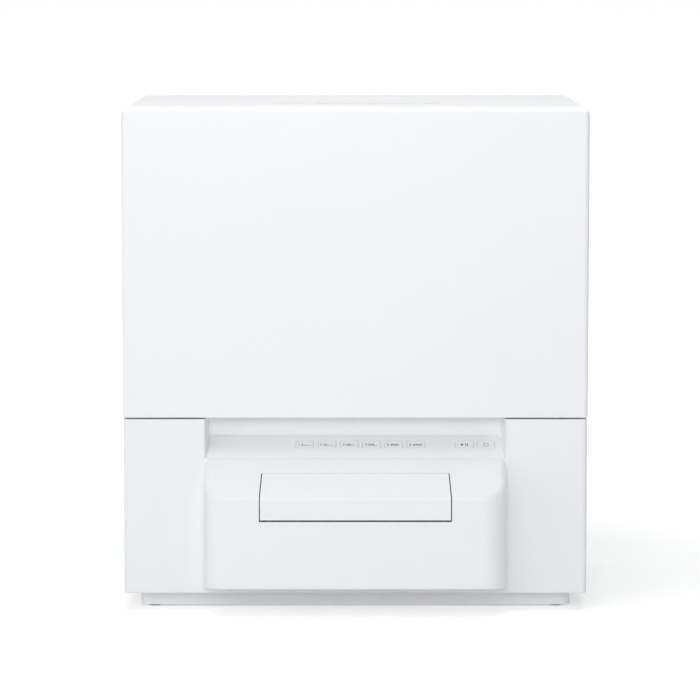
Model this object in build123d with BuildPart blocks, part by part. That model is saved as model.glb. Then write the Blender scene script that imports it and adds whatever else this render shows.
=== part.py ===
from build123d import *
from math import cos, hypot, radians, sin, tan
import os

os.makedirs("parts", exist_ok=True)

# A slim countertop dishwasher with a lift-up door, in millimetres.
# X runs to the right, Y to the rear and Z up. The origin is on the floor, under the middle
# of the outline. Depths named ..._u are measured back from the door's face.

# Casing
width = 550.0
height = 600.0
body_depth = 341.0
case_inset = 0.75
case_skin = 2.5
case_corner = 14.0
return_depth = 34.0
back_inset = 3.0
cover_back_edge = 3.0
panel_lip = 8.0

# Fits: pieces at rest on each other, cutters run past a face, pins in their holes
seat = 0.3
over = 1.0
pin_gap = 0.3

# Door
door_gap = 1.7
door_skin = 3.0
door_edge = 5.0
lip_round = 0.8
crease_drop = 8.0
crown_depth = 20.0
top_return = 66.0
cap_drop = 15.0
inner_face_u = 27.0
inner_skin = 2.0
inner_inset = 9.0
inner_lift = 23.1
inner_headroom = 16.0
inner_corner = 10.0
inner_edge = 3.0
field_side_gap = 9.0
field_end_gap = 24.0
field_corner = 24.0
field_step = 5.0
field_slant = 30.0
grip_half = 165.0
grip_front_u = 6.0
grip_back_gap = 3.6
grip_height = 17.0
grip_wall = 1.6
grip_edge = 4.0

# Vent slit in the door's top and the louver below it
slit_length = 204.0
slit_u = 53.0
slit_width = 4.0
scoop_length = 11.0
scoop_depth = 1.6
louver_depth = 12.0
louver_height = 6.0
louver_rim = 2.0
louver_margin = 2.0
slat_count = 17
slat_skin = 1.2

# Lower front with its recess, slope and inlet housing
body_base = 21.0
lower_top = 229.2
lower_skin = 3.0
lower_edge = 5.0
lower_bottom_edge = 1.5
recess_half = 178.5
recess_depth = 27.6
recess_taper = 5.0
recess_corner = 6.0
slope_angle = 41.7
slope_drop = 22.2
bulge_reach = 45.0
bulge_half = 178.5
bulge_base = 33.0
bulge_corner = 26.0
bulge_top_edge = 8.0
bulge_bottom_edge = 2.0

# Control strip and its keys, laid out on the slope
strip_start = 0.4
strip_back_gap = 0.5
strip_side_gap = 1.5
strip_front_corner = 2.5
strip_back_corner = 5.0
strip_thickness = 1.6
key_width = 21.0
key_length = 11.5
key_corner = 2.2
key_edge = 0.4
key_place = 21.6
key_depth = 5.0
key_travel = 0.8
key_names = [
    "course_key_1",
    "course_key_2",
    "course_key_3",
    "course_key_4",
    "course_key_5",
    "course_key_6",
    "start_key",
    "power_key",
]
key_centres = [-60.1, -33.7, -7.3, 19.1, 45.5, 71.9, 129.4, 155.0]

# Boards
board_thickness = 1.6
board_half = 158.0
board_length = 30.5
board_boss_radius = 3.5
boss_inset = 5.0
boss_right_x = 100.0
boss_places_v = [8.0, 30.0]
switch_height = 2.4
switch_side = 6.0
board_standoff = 8.0
power_board_u = 130.0
power_board_z = 52.0
power_board_length = 120.0
power_board_height = 60.0
stud_inset = 6.0
relay_pitch = 26.0
relay_length = 18.0
relay_height = 26.0
relay_depth = 16.0
capacitor_place = 46.0
capacitor_radius = 8.0
capacitor_depth = 24.0

# Inlet lid, which turns on two curved arms behind the slope
lid_half = 112.0
lid_top_half = 109.5
lid_drop = 91.6
lid_back_u = -17.0
lid_skin = 2.5
lid_side_gap = 1.2
lid_base_gap = 2.0
lip_edge = 0.2
hinge_along = 7.0
arm_x = 80.0
arm_width = 4.0
arm_depth = 3.0
arm_from = 156.0
arm_to = 275.0
lid_hub_radius = 3.2
lid_pin_radius = 1.5
lid_pin_over = 1.0
lug_radius = 4.5
lug_width = 3.0

# Inlet hopper and its pipe
hopper_half = 112.0
hopper_skin = 2.0
hopper_rim_drop = 9.4
hopper_front_drop = 31.4
hopper_back_drop = 39.4
hopper_back_rise = 34.6
hopper_back_u = -2.0
neck_radius = 9.5
neck_skin = 2.0
neck_rise = 13.0
neck_length = 20.0
pipe_skin = 2.0
pipe_end_gap = 6.0

# Base
plinth_inset = 18.0
plinth_u = 30.0
plinth_back = 20.0
plinth_corner = 14.0
tray_skin = 3.0
foot_height = 2.0
foot_radius = 8.5
foot_stud_radius = 3.0
foot_stud_over = 1.0
foot_side_inset = 17.0
foot_inset = 14.0
support_inset = 11.0
support_skin = 2.0
support_lip = 14.0
support_front_u = 60.0
support_end_gap = 18.0
window_z = 145.0
window_height = 90.0
window_width = 44.0
window_count = 3

# Tub
tub_side_gap = 32.0
tub_lift = 6.8
tub_headroom = 26.0
tub_front_u = 38.0
tub_back_gap = 23.0
tub_skin = 2.0
tub_corner = 18.0
tub_back_corner = 12.0
sill_height = 26.0
rim_reach = 6.5
rim_grow = 6.0
rim_thickness = 2.0
gasket_width = 6.0
gasket_rim = 8.0
gasket_round = 2.4
ledge_reach = 9.0
ledge_thickness = 3.0
ledge_rise = 40.0
rack_spacing = 142.0

# Rear panel: its grille, its screws and the bay for the hoses and the cord
screw_inset = 10.0
screw_end_inset = 40.0
screw_rows = 4
screw_radius = 2.0
screw_head = 2.2
screw_head_radius = 4.0
screw_head_edge = 0.9
screw_reach = 4.0
grille_x = 30.0
grille_z = 150.0
grille_pitch = 8.0
grille_slot = 3.5
grille_slot_length = 28.0
grille_column_pitch = 32.0
grille_columns = 3
grille_rows = 9
bay_inset = 35.0
bay_past_drain = 20.3
bay_base = 34.0
bay_top = 112.0
bay_depth = 24.0
bay_corner = 3.0
valve_inset = 50.0
gland_spacing = 45.0
flange_skin = 3.0
spigot_short = 2.0
root_relief = 0.5
spigot_radius = 10.0
spigot_flange = 4.0
barb_length = 12.0
supply_radius = 10.5
supply_flange = 5.0
supply_wall = 3.0
valve_z = 75.0
valve_width = 32.0
valve_height = 36.0
valve_corner = 5.0
valve_pipe_gap = 29.0
valve_pipe_radius = 7.0
valve_pipe_skin = 2.0
valve_pipe_rise = 4.0
gland_radius = 7.0
gland_flange = 3.0
gland_slant = 4.0

# Sump and filters
sump_mouth = 58.0
sump_skin = 2.5
sump_flange = 68.0
sump_shoulder = 150.0
well_top = 118.0
well_radius = 34.0
well_base = 44.0
port_z = 75.0
port_radius = 14.0
pump_face = 70.0
filter_plate_skin = 2.0
plate_lap = 6.0
plate_hole_count = 24
plate_hole_radius = 2.6
plate_hole_place = 52.0
cup_radius = 44.0
cup_inset = 4.0
cup_skin = 2.0
cup_depth = 60.0
cup_rim = 4.0
cup_slot_count = 5
cup_slot_pitch = 9.0
cup_slot_width = 3.0
cup_slot_length = 36.0

# Spray arm and heater
arm_reach = 116.0
arm_tip = 9.0
arm_thickness = 9.0
arm_round = 2.5
arm_clear = 16.0
arm_boss = 15.0
jet_radius = 2.2
jet_reaches = [34.0, 56.0, 78.0, 98.0]
jet_offset = 2.0
hub_radius = 9.0
hub_cap = 3.0
hub_round = 1.5
pivot_radius = 6.0
heater_radius = 84.0
heater_tube = 3.5
heater_gap = 40.0
heater_rise = 6.0
heater_drop = 16.0

# Wash pump, its pipe and the nozzle in the tub's back
volute_radius = 42.0
volute_width = 28.0
volute_skin = 4.0
volute_round = 5.0
outlet_rise = 4.0
impeller_radius = 34.0
impeller_width = 14.0
impeller_disc = 2.0
vane_count = 7
vane_length = 27.0
vane_skin = 2.0
vane_place = 20.0
vane_angle = 28.0
rotor_hub_radius = 7.5
shaft_radius = 3.0
shaft_reach = 8.0
motor_radius = 34.0
motor_length = 86.0
motor_round = 6.0
motor_foot_length = 43.0
motor_foot_width = 51.0
motor_foot_rise = 0.7
wash_pipe_radius = 7.0
wash_pipe_skin = 2.0
wash_pipe_bend = 25.0
wash_pipe_drop = 36.0
nozzle_rise = 109.0
nozzle_neck = 8.0
socket_width = 24.0
socket_below = 26.0
socket_above = 12.0
rose_radius = 24.0
rose_height = 10.0
rose_round = 4.0
rose_jets = 6
rose_jet_place = 14.4

# Drain pump and hose
drain_volute_radius = 30.0
drain_volute_width = 20.0
drain_motor_radius = 24.0
drain_motor_length = 42.0
drain_motor_round = 4.0
drain_neck = 8.0
drain_neck_reach = 12.0
drain_foot_gap = 4.0
drain_foot_length = 29.4
drain_foot_rise = 0.8
hose_start_gap = 2.0
drain_hose_skin = 2.5

# Drying blower and its duct
blower_gap = 6.0
blower_radius = 44.0
blower_base = 30.0
blower_height = 36.0
blower_skin = 3.0
blower_foot_radius = 22.0
blower_boss_radius = 12.0
blower_eye = 26.0
spindle_cap_radius = 5.0
spindle_cap = 1.5
wheel_radius = 36.0
wheel_height = 24.0
wheel_disc = 2.0
wheel_ring = 8.0
blade_count = 28
blade_length = 7.0
blade_skin = 1.2
blade_inset = 4.5
blade_angle = 35.0
duct_inset = 53.0
duct_width = 40.0
duct_skin = 1.6
duct_back_gap = 1.5
duct_mouth_rise = 44.0
duct_mouth_height = 30.0

# Racks and basket
rack_side_gap = 5.0
rack_front_gap = 8.0
rack_back_gap = 16.0
rack_bar = 3.0
rack_pitch = 52.0
rack_rim = 36.0
tine_height = 62.0
tine_radius = 1.8
comb_wire = 2.4
tine_pitch = 24.0
tine_count = 12
basket_inset = 53.0
basket_width = 62.0
basket_end_gap = 18.0
basket_height = 96.0
basket_skin = 2.0
basket_corner = 6.0
basket_slots = 10
basket_slot_width = 6.0
basket_slot_margin = 12.0

# Door linkage in the lanes beside the tub
link_length = 220.0
link_rest = 62.0
link_tip_u = 79.7
link_tip_lift = 30.9
link_step_u = -20.0
link_step_z = 60.0
link_plate = 3.5
link_end = 10.5
link_middle = 15.0
link_slot = 6.0
link_slot_length = 154.0
link_pin = 4.0
pin_collar = 2.5
pin_head = 1.5
lane_clear = 0.75
lane_gap = 2.2
frame_plate = 2.5
frame_margin = 18.0
frame_length = 90.0
frame_corner = 8.0
bracket_plate = 2.5
bracket_corner = 7.0
bracket_flange = 8.0
bracket_below = 13.8
bracket_above = 20.2
bracket_past_tip = 15.0
bracket_upper_past = 8.0
bracket_shoulder = 5.0
flange_lift = 2.0
damper_radius = 20.0
bumper_inset = 30.0
bumper_u = 16.0
bumper_radius = 5.0

# Places that follow from the sizes above
front_y = (bulge_reach - body_depth) / 2
rear_y = front_y + body_depth
back_y = rear_y - back_inset
case_half = width / 2 - case_inset
slope = radians(slope_angle)
slope_top = lower_top - slope_drop
strip_end = recess_depth / cos(slope) - strip_back_gap
door_base = lower_top + door_gap
inner_half = width / 2 - inner_inset
inner_base = door_base + inner_lift
inner_top = height - inner_headroom
grip_back_u = recess_depth - grip_back_gap
lid_base = slope_top - lid_drop
hinge_under = lower_skin + seat + lid_hub_radius
lip_radius = hypot(hinge_along - lip_edge, hinge_under)
arm_inner = lip_radius + 2 * seat
arm_outer = arm_inner + arm_depth
hopper_floor_back = lid_base - hopper_back_drop
hopper_back_top = lid_base + hopper_back_rise
neck_z = hopper_floor_back + neck_rise
plinth_half = width / 2 - plinth_inset
foot_x = plinth_half - foot_side_inset
tub_half = width / 2 - tub_side_gap
tub_base = lower_top + tub_lift
tub_top = height - tub_headroom
tub_back_u = body_depth - tub_back_gap
tub_middle_z = (tub_base + tub_top) / 2
tub_tall = tub_top - tub_base
mouth_half = tub_half - tub_skin
mouth_tall = tub_tall - tub_skin - sill_height
mouth_middle_z = tub_base + sill_height + mouth_tall / 2
rim_half = tub_half + rim_reach
lower_ledge = tub_base + ledge_rise
upper_ledge = lower_ledge + rack_spacing
support_x = tub_half - support_inset
support_base = foot_height + tray_skin
support_length = tub_back_u - support_end_gap - support_front_u
rack_half = tub_half - rack_side_gap
rack_front_u = tub_front_u + rack_front_gap
rack_back_u = tub_back_u - rack_back_gap
rack_length = rack_back_u - rack_front_u
rack_middle_u = (rack_front_u + rack_back_u) / 2
basket_x = rack_half - basket_inset
sump_u = (tub_front_u + tub_back_u) / 2
fill_start_u = hopper_back_u + pipe_end_gap
fill_end_u = sump_u - well_radius - pipe_end_gap
volute_face = pump_face + seat
volute_back = volute_face + volute_width
nozzle_x = volute_face + volute_width / 2
nozzle_z = tub_base + nozzle_rise
wash_pipe_level = tub_base - wash_pipe_drop
pipe_back_u = (tub_back_u + body_depth - back_inset - case_skin) / 2
drain_x = -(volute_face + drain_volute_width / 2)
blower_u = sump_u + motor_radius + blower_gap + blower_radius
duct_right = tub_half - duct_inset
duct_left = duct_right - duct_width
duct_middle_x = (duct_left + duct_right) / 2
duct_mouth_z = tub_base + duct_mouth_rise
duct_top_z = duct_mouth_z + duct_mouth_height
bay_left = bay_inset - width / 2
bay_right = drain_x + bay_past_drain
bay_floor_u = body_depth - back_inset - bay_depth
valve_x = bay_left + valve_inset
valve_pipe_u = bay_floor_u - valve_pipe_gap
gland_x = valve_x + gland_spacing
barb_end_u = bay_floor_u - seat - flange_skin
spigot_free_u = bay_floor_u + case_skin + seat
spigot_end_u = body_depth - back_inset - spigot_short
bumper_x = width / 2 - bumper_inset


def behind(depth):
    """The Y place of a depth measured back from the door's face."""
    return front_y + depth


def slope_z(depth):
    """The height of the sloped face at a depth behind the door's face."""
    return slope_top - (recess_depth - depth) * tan(slope)


def outline(points):
    """A closed face through the given corners of the open sketch."""
    Polygon(*points, align=None)


slope_plane = Plane(
    origin=(0, front_y, slope_z(0)),
    x_dir=(1, 0, 0),
    z_dir=(0, -sin(slope), cos(slope)),
)
# Seen from the side, with the slope's line across and its outward side up; the origin is
# where the lid ends against the slope.
hinge_side = Plane(
    origin=(0, behind(lid_back_u), slope_z(lid_back_u)),
    x_dir=(0, cos(slope), sin(slope)),
    z_dir=(1, 0, 0),
)
hinge_place = (hinge_along, -hinge_under)
lip_wall = Plane(
    origin=(
        0,
        behind(lid_back_u) + lip_edge * cos(slope),
        slope_z(lid_back_u) + lip_edge * sin(slope),
    ),
    x_dir=(1, 0, 0),
    z_dir=(0, cos(slope), sin(slope)),
)


# The lower front is one moulding: side returns, a recess under the door with a slope
# running out of it, and the housing of the water inlet that stands out in front.
def lower_box(skin, past):
    half = case_half - skin
    with BuildPart() as form:
        with BuildSketch(Plane.XY.offset(body_base + skin)):
            with Locations((0, behind(skin))):
                Rectangle(2 * half, return_depth - skin + past, align=(Align.CENTER, Align.MIN))
        extrude(amount=lower_top - body_base - 2 * skin)
        fillet(form.edges().filter_by(Axis.Z).group_by(Axis.Y)[0], lower_edge - skin)
        base_edges = form.faces().sort_by(Axis.Z)[0].edges().sort_by(Axis.Y)
        if skin < lower_bottom_edge:
            fillet(base_edges[:-1], lower_bottom_edge - skin)
        if skin < lip_round:
            top_edges = form.faces().sort_by(Axis.Z)[-1].edges().sort_by(Axis.Y)
            fillet(top_edges[:-1], lip_round)
    return form.part


def recess_space(grow):
    drop = grow / cos(slope)
    back_u = recess_depth + grow
    lowest = slope_z(-over) - drop
    front_half = recess_half + grow + recess_taper / recess_depth * over
    back_half = recess_half + grow - recess_taper * back_u / recess_depth
    with BuildPart() as space:
        with BuildSketch(Plane.YZ):
            outline(
                [
                    (behind(-over), lowest),
                    (behind(back_u), slope_z(back_u) - drop),
                    (behind(back_u), lower_top + over),
                    (behind(-over), lower_top + over),
                ]
            )
        extrude(amount=width / 2, both=True)
        with BuildSketch(Plane.XY.offset(lowest - over)) as plan:
            outline(
                [
                    (-front_half, behind(-over)),
                    (front_half, behind(-over)),
                    (back_half, behind(back_u)),
                    (-back_half, behind(back_u)),
                ]
            )
            fillet(plan.vertices().group_by(Axis.Y)[-1], recess_corner + grow)
        extrude(amount=lower_top - lowest + 3 * over, mode=Mode.INTERSECT)
    return space.part


def bulge_form(skin):
    half = bulge_half - skin
    with BuildPart() as form:
        with BuildSketch(Plane.XY.offset(bulge_base + skin)) as plan:
            with Locations((0, behind(skin + over))):
                Rectangle(2 * half, bulge_reach + over, align=(Align.CENTER, Align.MAX))
            fillet(plan.vertices().group_by(Axis.Y)[0], bulge_corner - skin)
        extrude(amount=slope_top - bulge_base)
        split(bisect_by=slope_plane.offset(-skin), keep=Keep.BOTTOM)
        top_edges = form.faces().filter_by(slope_plane)[0].edges().sort_by(Axis.Y)
        fillet(top_edges[:-1], bulge_top_edge - skin)
        base_edges = form.faces().sort_by(Axis.Z)[0].edges().sort_by(Axis.Y)
        if skin < bulge_bottom_edge:
            fillet(base_edges[:-1], bulge_bottom_edge - skin)
    return form.part


def lid_prism(side_gap, base_gap):
    """The lid's outline, seen from the front, run back as far as the lip behind it."""
    shoulder = slope_z(-bulge_reach)
    top = slope_z(lid_back_u) + lid_skin
    with BuildPart() as prism:
        with BuildSketch(Plane.XZ.offset(-behind(0))):
            outline(
                [
                    (-lid_half - side_gap, lid_base - base_gap),
                    (lid_half + side_gap, lid_base - base_gap),
                    (lid_half + side_gap, shoulder),
                    (lid_top_half + side_gap, top),
                    (-lid_top_half - side_gap, top),
                    (-lid_half - side_gap, shoulder),
                ]
            )
        extrude(amount=bulge_reach + over)
        split(bisect_by=lip_wall, keep=Keep.BOTTOM)
    return prism.part


def strip_outline(view, grow):
    """The control strip's outline on the slope, its sides along the recess's walls."""
    front_v = strip_start - grow
    back_v = strip_end + grow
    lean = recess_taper * cos(slope) / recess_depth
    half = recess_half - strip_side_gap + grow
    outline(
        [
            (-half + lean * front_v, front_v),
            (half - lean * front_v, front_v),
            (half - lean * back_v, back_v),
            (-half + lean * back_v, back_v),
        ]
    )
    fillet(view.vertices().group_by(Axis.Y)[0], strip_front_corner + grow)
    fillet(view.vertices().group_by(Axis.Y)[-1], strip_back_corner + grow)


board_top = -key_depth - key_travel - seat - switch_height
board_places = [(x, v) for x in (boss_inset - board_half, boss_right_x) for v in boss_places_v]

with BuildPart() as lower_hollow:
    add(lower_box(lower_skin, over))
    add(recess_space(lower_skin), mode=Mode.SUBTRACT)
    add(bulge_form(lower_skin))

with BuildPart() as lower_front:
    add(lower_box(0, 0))
    add(recess_space(0), mode=Mode.SUBTRACT)
    add(bulge_form(0))
    add(lower_hollow.part, mode=Mode.SUBTRACT)
    # The bottom return stops short of the plinth.
    with BuildSketch(Plane.XY.offset(body_base)):
        with Locations((0, behind(plinth_u - seat))):
            Rectangle(2 * (plinth_half + seat), return_depth, align=(Align.CENTER, Align.MIN))
    extrude(amount=lower_skin, mode=Mode.SUBTRACT)
    add(lid_prism(lid_side_gap, lid_base_gap), mode=Mode.SUBTRACT)
    # Two pairs of lugs hang from the slope's underside and hold the lid's pins.
    for side in (-1, 1):
        for hand in (-1, 1):
            lug_face = side * arm_x + hand * (arm_width / 2 + seat)
            with BuildSketch(hinge_side.offset(lug_face)):
                with Locations(hinge_place):
                    Circle(lug_radius)
                    Rectangle(
                        2 * lug_radius,
                        hinge_under - lower_skin / 2,
                        align=(Align.CENTER, Align.MIN),
                    )
                    Circle(lid_pin_radius, mode=Mode.SUBTRACT)
            extrude(amount=hand * lug_width)
    # The control strip lies in a shallow pocket, and its keys pass through the floor.
    with BuildSketch(slope_plane) as pocket_view:
        strip_outline(pocket_view, seat)
    extrude(amount=-strip_thickness, mode=Mode.SUBTRACT)
    with BuildSketch(slope_plane):
        with Locations(*[(x, key_place) for x in key_centres]):
            RectangleRounded(key_width + 2 * seat, key_length + 2 * seat, key_corner)
    extrude(amount=-2 * lower_skin, mode=Mode.SUBTRACT)
    with BuildSketch(slope_plane.offset(-lower_skin)):
        with Locations(*board_places):
            Circle(board_boss_radius)
    extrude(amount=board_top + lower_skin)

lower_front.part.label = "lower_front"
export_step(lower_front.part, "parts/lower_front.step")

# The control strip: a flush trim with a window for each key.
with BuildPart() as control_strip:
    with BuildSketch(slope_plane) as strip_view:
        strip_outline(strip_view, 0)
        with Locations(*[(x, key_place) for x in key_centres]):
            RectangleRounded(
                key_width + 2 * seat, key_length + 2 * seat, key_corner, mode=Mode.SUBTRACT
            )
    extrude(amount=-strip_thickness)

control_strip.part.label = "control_strip"
export_step(control_strip.part, "parts/control_strip.step")

# Eight keys, each a flat cap on a stem over its own switch.
for name, key_x in zip(key_names, key_centres):
    with BuildPart() as key:
        with BuildSketch(slope_plane):
            with Locations((key_x, key_place)):
                RectangleRounded(key_width, key_length, key_corner)
        extrude(amount=-key_depth)
        fillet(key.faces().filter_by(slope_plane).sort_by(Axis.Z)[-1].edges(), key_edge)
    key.part.label = name
    export_step(key.part, f"parts/{name}.step")

# The board under the slope, with a push switch below each key.
with BuildPart() as control_board:
    with BuildSketch(slope_plane.offset(board_top)):
        with Locations((0, (strip_start + strip_end) / 2)):
            Rectangle(2 * board_half, board_length)
    extrude(amount=-board_thickness)
    with BuildSketch(slope_plane.offset(board_top)):
        with Locations(*[(x, key_place) for x in key_centres]):
            Rectangle(switch_side, switch_side)
    extrude(amount=switch_height)

control_board.part.label = "control_board"
export_step(control_board.part, "parts/control_board.step")

# The inlet lid takes the housing's own outside, so that it closes flush. Its rear edge is
# hollowed round the hinge line, and two curved arms reach from it under the slope's lip.
with BuildPart() as inlet_lid:
    add(bulge_form(0))
    add(bulge_form(lid_skin), mode=Mode.SUBTRACT)
    add(lid_prism(0, 0), mode=Mode.INTERSECT)
    with BuildSketch(hinge_side):
        with Locations(hinge_place):
            Circle(lip_radius + seat)
    extrude(amount=lid_half, both=True, mode=Mode.SUBTRACT)
    for side in (-1, 1):
        with BuildSketch(hinge_side.offset(side * arm_x - arm_width / 2)):
            with Locations(hinge_place):
                Circle(arm_outer)
                Circle(arm_inner, mode=Mode.SUBTRACT)
                turns = [arm_from + (arm_to - arm_from) * step / 3 for step in range(4)]
                fan = [
                    (2 * arm_outer * cos(radians(turn)), 2 * arm_outer * sin(radians(turn)))
                    for turn in turns
                ]
                Polygon((0, 0), *fan, align=None, mode=Mode.INTERSECT)
                Rectangle(
                    (arm_inner + arm_outer) / 2,
                    arm_depth,
                    rotation=arm_to,
                    align=(Align.MIN, Align.CENTER),
                )
                Circle(lid_hub_radius)
                Circle(lid_pin_radius + pin_gap, mode=Mode.SUBTRACT)
        extrude(amount=arm_width)

inlet_lid.part.label = "inlet_lid"
export_step(inlet_lid.part, "parts/inlet_lid.step")

# A steel pin through each arm and its two lugs.
pin_half = arm_width / 2 + seat + lug_width + lid_pin_over
with BuildPart() as lid_pins:
    for side in (-1, 1):
        with BuildSketch(hinge_side.offset(side * arm_x - pin_half)):
            with Locations(hinge_place):
                Circle(lid_pin_radius)
        extrude(amount=2 * pin_half)

lid_pins.part.label = "lid_pins"
export_step(lid_pins.part, "parts/lid_pins.step")

# The hopper under the lid catches the water poured in and leads it back to the sump.
hopper_front_u = -bulge_reach + lower_skin + seat
with BuildPart() as inlet_hopper:
    with BuildSketch(Plane.YZ):
        outline(
            [
                (behind(hopper_front_u), lid_base - hopper_rim_drop),
                (behind(hopper_front_u), lid_base - hopper_front_drop),
                (behind(hopper_back_u), hopper_floor_back),
                (behind(hopper_back_u), hopper_back_top),
            ]
        )
    extrude(amount=hopper_half, both=True)
    with BuildSketch(Plane.YZ):
        outline(
            [
                (behind(hopper_front_u + hopper_skin), hopper_back_top),
                (behind(hopper_front_u + hopper_skin), lid_base - hopper_front_drop + hopper_skin),
                (behind(hopper_back_u - hopper_skin), hopper_floor_back + hopper_skin),
                (behind(hopper_back_u - hopper_skin), hopper_back_top),
            ]
        )
    extrude(amount=hopper_half - hopper_skin, both=True, mode=Mode.SUBTRACT)
    with BuildSketch(Plane.XZ.offset(-behind(hopper_back_u - hopper_skin / 2))):
        with Locations((0, neck_z)):
            Circle(neck_radius)
    extrude(amount=-neck_length)
    with BuildSketch(Plane.XZ.offset(-behind(hopper_back_u - hopper_skin - over))):
        with Locations((0, neck_z)):
            Circle(neck_radius - neck_skin)
    extrude(amount=-neck_length - hopper_skin, mode=Mode.SUBTRACT)

inlet_hopper.part.label = "inlet_hopper"
export_step(inlet_hopper.part, "parts/inlet_hopper.step")

# A straight pipe from the hopper's neck to the neck on the sump's well.
with BuildPart() as fill_pipe:
    with BuildSketch(Plane.XZ.offset(-behind(fill_start_u))):
        with Locations((0, neck_z)):
            Circle(neck_radius + seat + pipe_skin)
            Circle(neck_radius + seat, mode=Mode.SUBTRACT)
    extrude(amount=-(fill_end_u - fill_start_u))

fill_pipe.part.label = "fill_pipe"
export_step(fill_pipe.part, "parts/fill_pipe.step")


# The door's outer shell: a flat face, a crease near its top and a crown running back
# into a cap, with short side returns that meet the side panels.
def door_form(skin, past):
    half = width / 2 - skin
    base = door_base + skin
    top = height - skin
    crease = height - crease_drop - skin
    rear = behind(top_return + past + skin)
    with BuildPart() as form:
        with BuildSketch(Plane.XY.offset(base)):
            with Locations((0, behind(skin))):
                Rectangle(2 * half, top_return + past, align=(Align.CENTER, Align.MIN))
        extrude(amount=top - base)
        fillet(form.edges().filter_by(Axis.Z).group_by(Axis.Y)[0], door_edge - skin)
        if skin < lip_round:
            base_edges = form.faces().sort_by(Axis.Z)[0].edges().sort_by(Axis.Y)
            fillet(base_edges[:-1], lip_round)
        with BuildSketch(Plane.YZ):
            with BuildLine():
                Polyline(
                    (behind(crown_depth), top),
                    (rear, top),
                    (rear, base),
                    (behind(skin), base),
                    (behind(skin), crease),
                )
                TangentArc(
                    (behind(crown_depth), top),
                    (behind(skin), crease),
                    tangent=(-1, 0),
                    tangent_from_first=True,
                )
            make_face()
        extrude(amount=width / 2, both=True, mode=Mode.INTERSECT)
        with BuildSketch(Plane.XZ.offset(-rear_y)) as front_view:
            with Locations((0, base)):
                Rectangle(2 * half, top - base, align=(Align.CENTER, Align.MIN))
            fillet(front_view.vertices().group_by(Axis.Y)[-1], case_corner - skin)
        extrude(amount=rear_y - front_y + over, mode=Mode.INTERSECT)
    return form.part


with BuildPart() as door_shell:
    add(door_form(0, 0))
    with BuildSketch(Plane.XZ.offset(-behind(return_depth))):
        with Locations((0, door_base)):
            Rectangle(width, height - cap_drop - door_base, align=(Align.CENTER, Align.MIN))
    extrude(amount=-top_return, mode=Mode.SUBTRACT)
    add(door_form(door_skin, over), mode=Mode.SUBTRACT)
    # The finger groove's mouth in the bottom lip.
    with BuildSketch(Plane.XY.offset(door_base)):
        with Locations((0, behind((grip_front_u + grip_back_u) / 2))):
            Rectangle(2 * (grip_half + seat), grip_back_u - grip_front_u + 2 * seat)
    extrude(amount=door_skin, mode=Mode.SUBTRACT)
    # The vent slit, with a shallow scoop in front of it.
    with BuildSketch(Plane.XY.offset(height - door_skin)):
        with Locations((0, behind(slit_u))):
            SlotOverall(slit_length, slit_width)
    extrude(amount=door_skin, mode=Mode.SUBTRACT)
    with BuildSketch(Plane.YZ):
        outline(
            [
                (behind(slit_u - scoop_length), height),
                (behind(slit_u), height),
                (behind(slit_u), height - scoop_depth),
            ]
        )
    extrude(amount=(slit_length - slit_width) / 2, both=True, mode=Mode.SUBTRACT)

door_shell.part.label = "door_shell"
export_step(door_shell.part, "parts/door_shell.step")

# The finger grip is a trough let into the door's bottom lip.
with BuildPart() as door_grip:
    with BuildSketch(Plane.XY.offset(door_base)):
        with Locations((0, behind((grip_front_u + grip_back_u) / 2))):
            Rectangle(2 * grip_half, grip_back_u - grip_front_u)
    extrude(amount=grip_height)
    fillet(door_grip.edges().filter_by(Axis.X).group_by(Axis.Z)[-1], grip_edge)
    with BuildSketch(Plane.XY.offset(door_base)):
        with Locations((0, behind((grip_front_u + grip_back_u) / 2))):
            Rectangle(2 * (grip_half - grip_wall), grip_back_u - grip_front_u - 2 * grip_wall)
    extrude(amount=grip_height - grip_wall, mode=Mode.SUBTRACT)

door_grip.part.label = "door_grip"
export_step(door_grip.part, "parts/door_grip.step")

# The door's inner panel is a pan, open to the front, with a raised field that faces the tub.
with BuildPart() as door_inner:
    with BuildSketch(Plane.XZ.offset(-behind(inner_face_u))) as pan_view:
        with Locations((0, inner_base)):
            Rectangle(2 * inner_half, inner_top - inner_base, align=(Align.CENTER, Align.MIN))
        fillet(pan_view.vertices(), inner_corner)
    extrude(amount=inner_face_u - door_skin - seat)
    fillet(door_inner.faces().sort_by(Axis.Y)[-1].edges(), inner_edge)
    with BuildSketch(Plane.XZ.offset(-behind(inner_face_u - inner_skin))) as pan_hollow:
        with Locations((0, inner_base + inner_skin)):
            Rectangle(
                2 * (inner_half - inner_skin),
                inner_top - inner_base - 2 * inner_skin,
                align=(Align.CENTER, Align.MIN),
            )
        fillet(pan_hollow.vertices(), inner_corner - inner_skin)
    extrude(amount=inner_face_u, mode=Mode.SUBTRACT)
    with BuildSketch(Plane.XZ.offset(-behind(inner_face_u))) as field_view:
        with Locations((0, mouth_middle_z)):
            Rectangle(2 * (mouth_half - field_side_gap), mouth_tall - 2 * field_end_gap)
        fillet(field_view.vertices(), field_corner)
    extrude(amount=-field_step, taper=field_slant)
    with BuildSketch(Plane.XZ.offset(-behind(inner_face_u - inner_skin))) as field_hollow:
        with Locations((0, mouth_middle_z)):
            Rectangle(
                2 * (mouth_half - field_side_gap - inner_skin),
                mouth_tall - 2 * (field_end_gap + inner_skin),
            )
        fillet(field_hollow.vertices(), field_corner - inner_skin)
    extrude(amount=-field_step, taper=field_slant, mode=Mode.SUBTRACT)

door_inner.part.label = "door_inner"
export_step(door_inner.part, "parts/door_inner.step")

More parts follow.
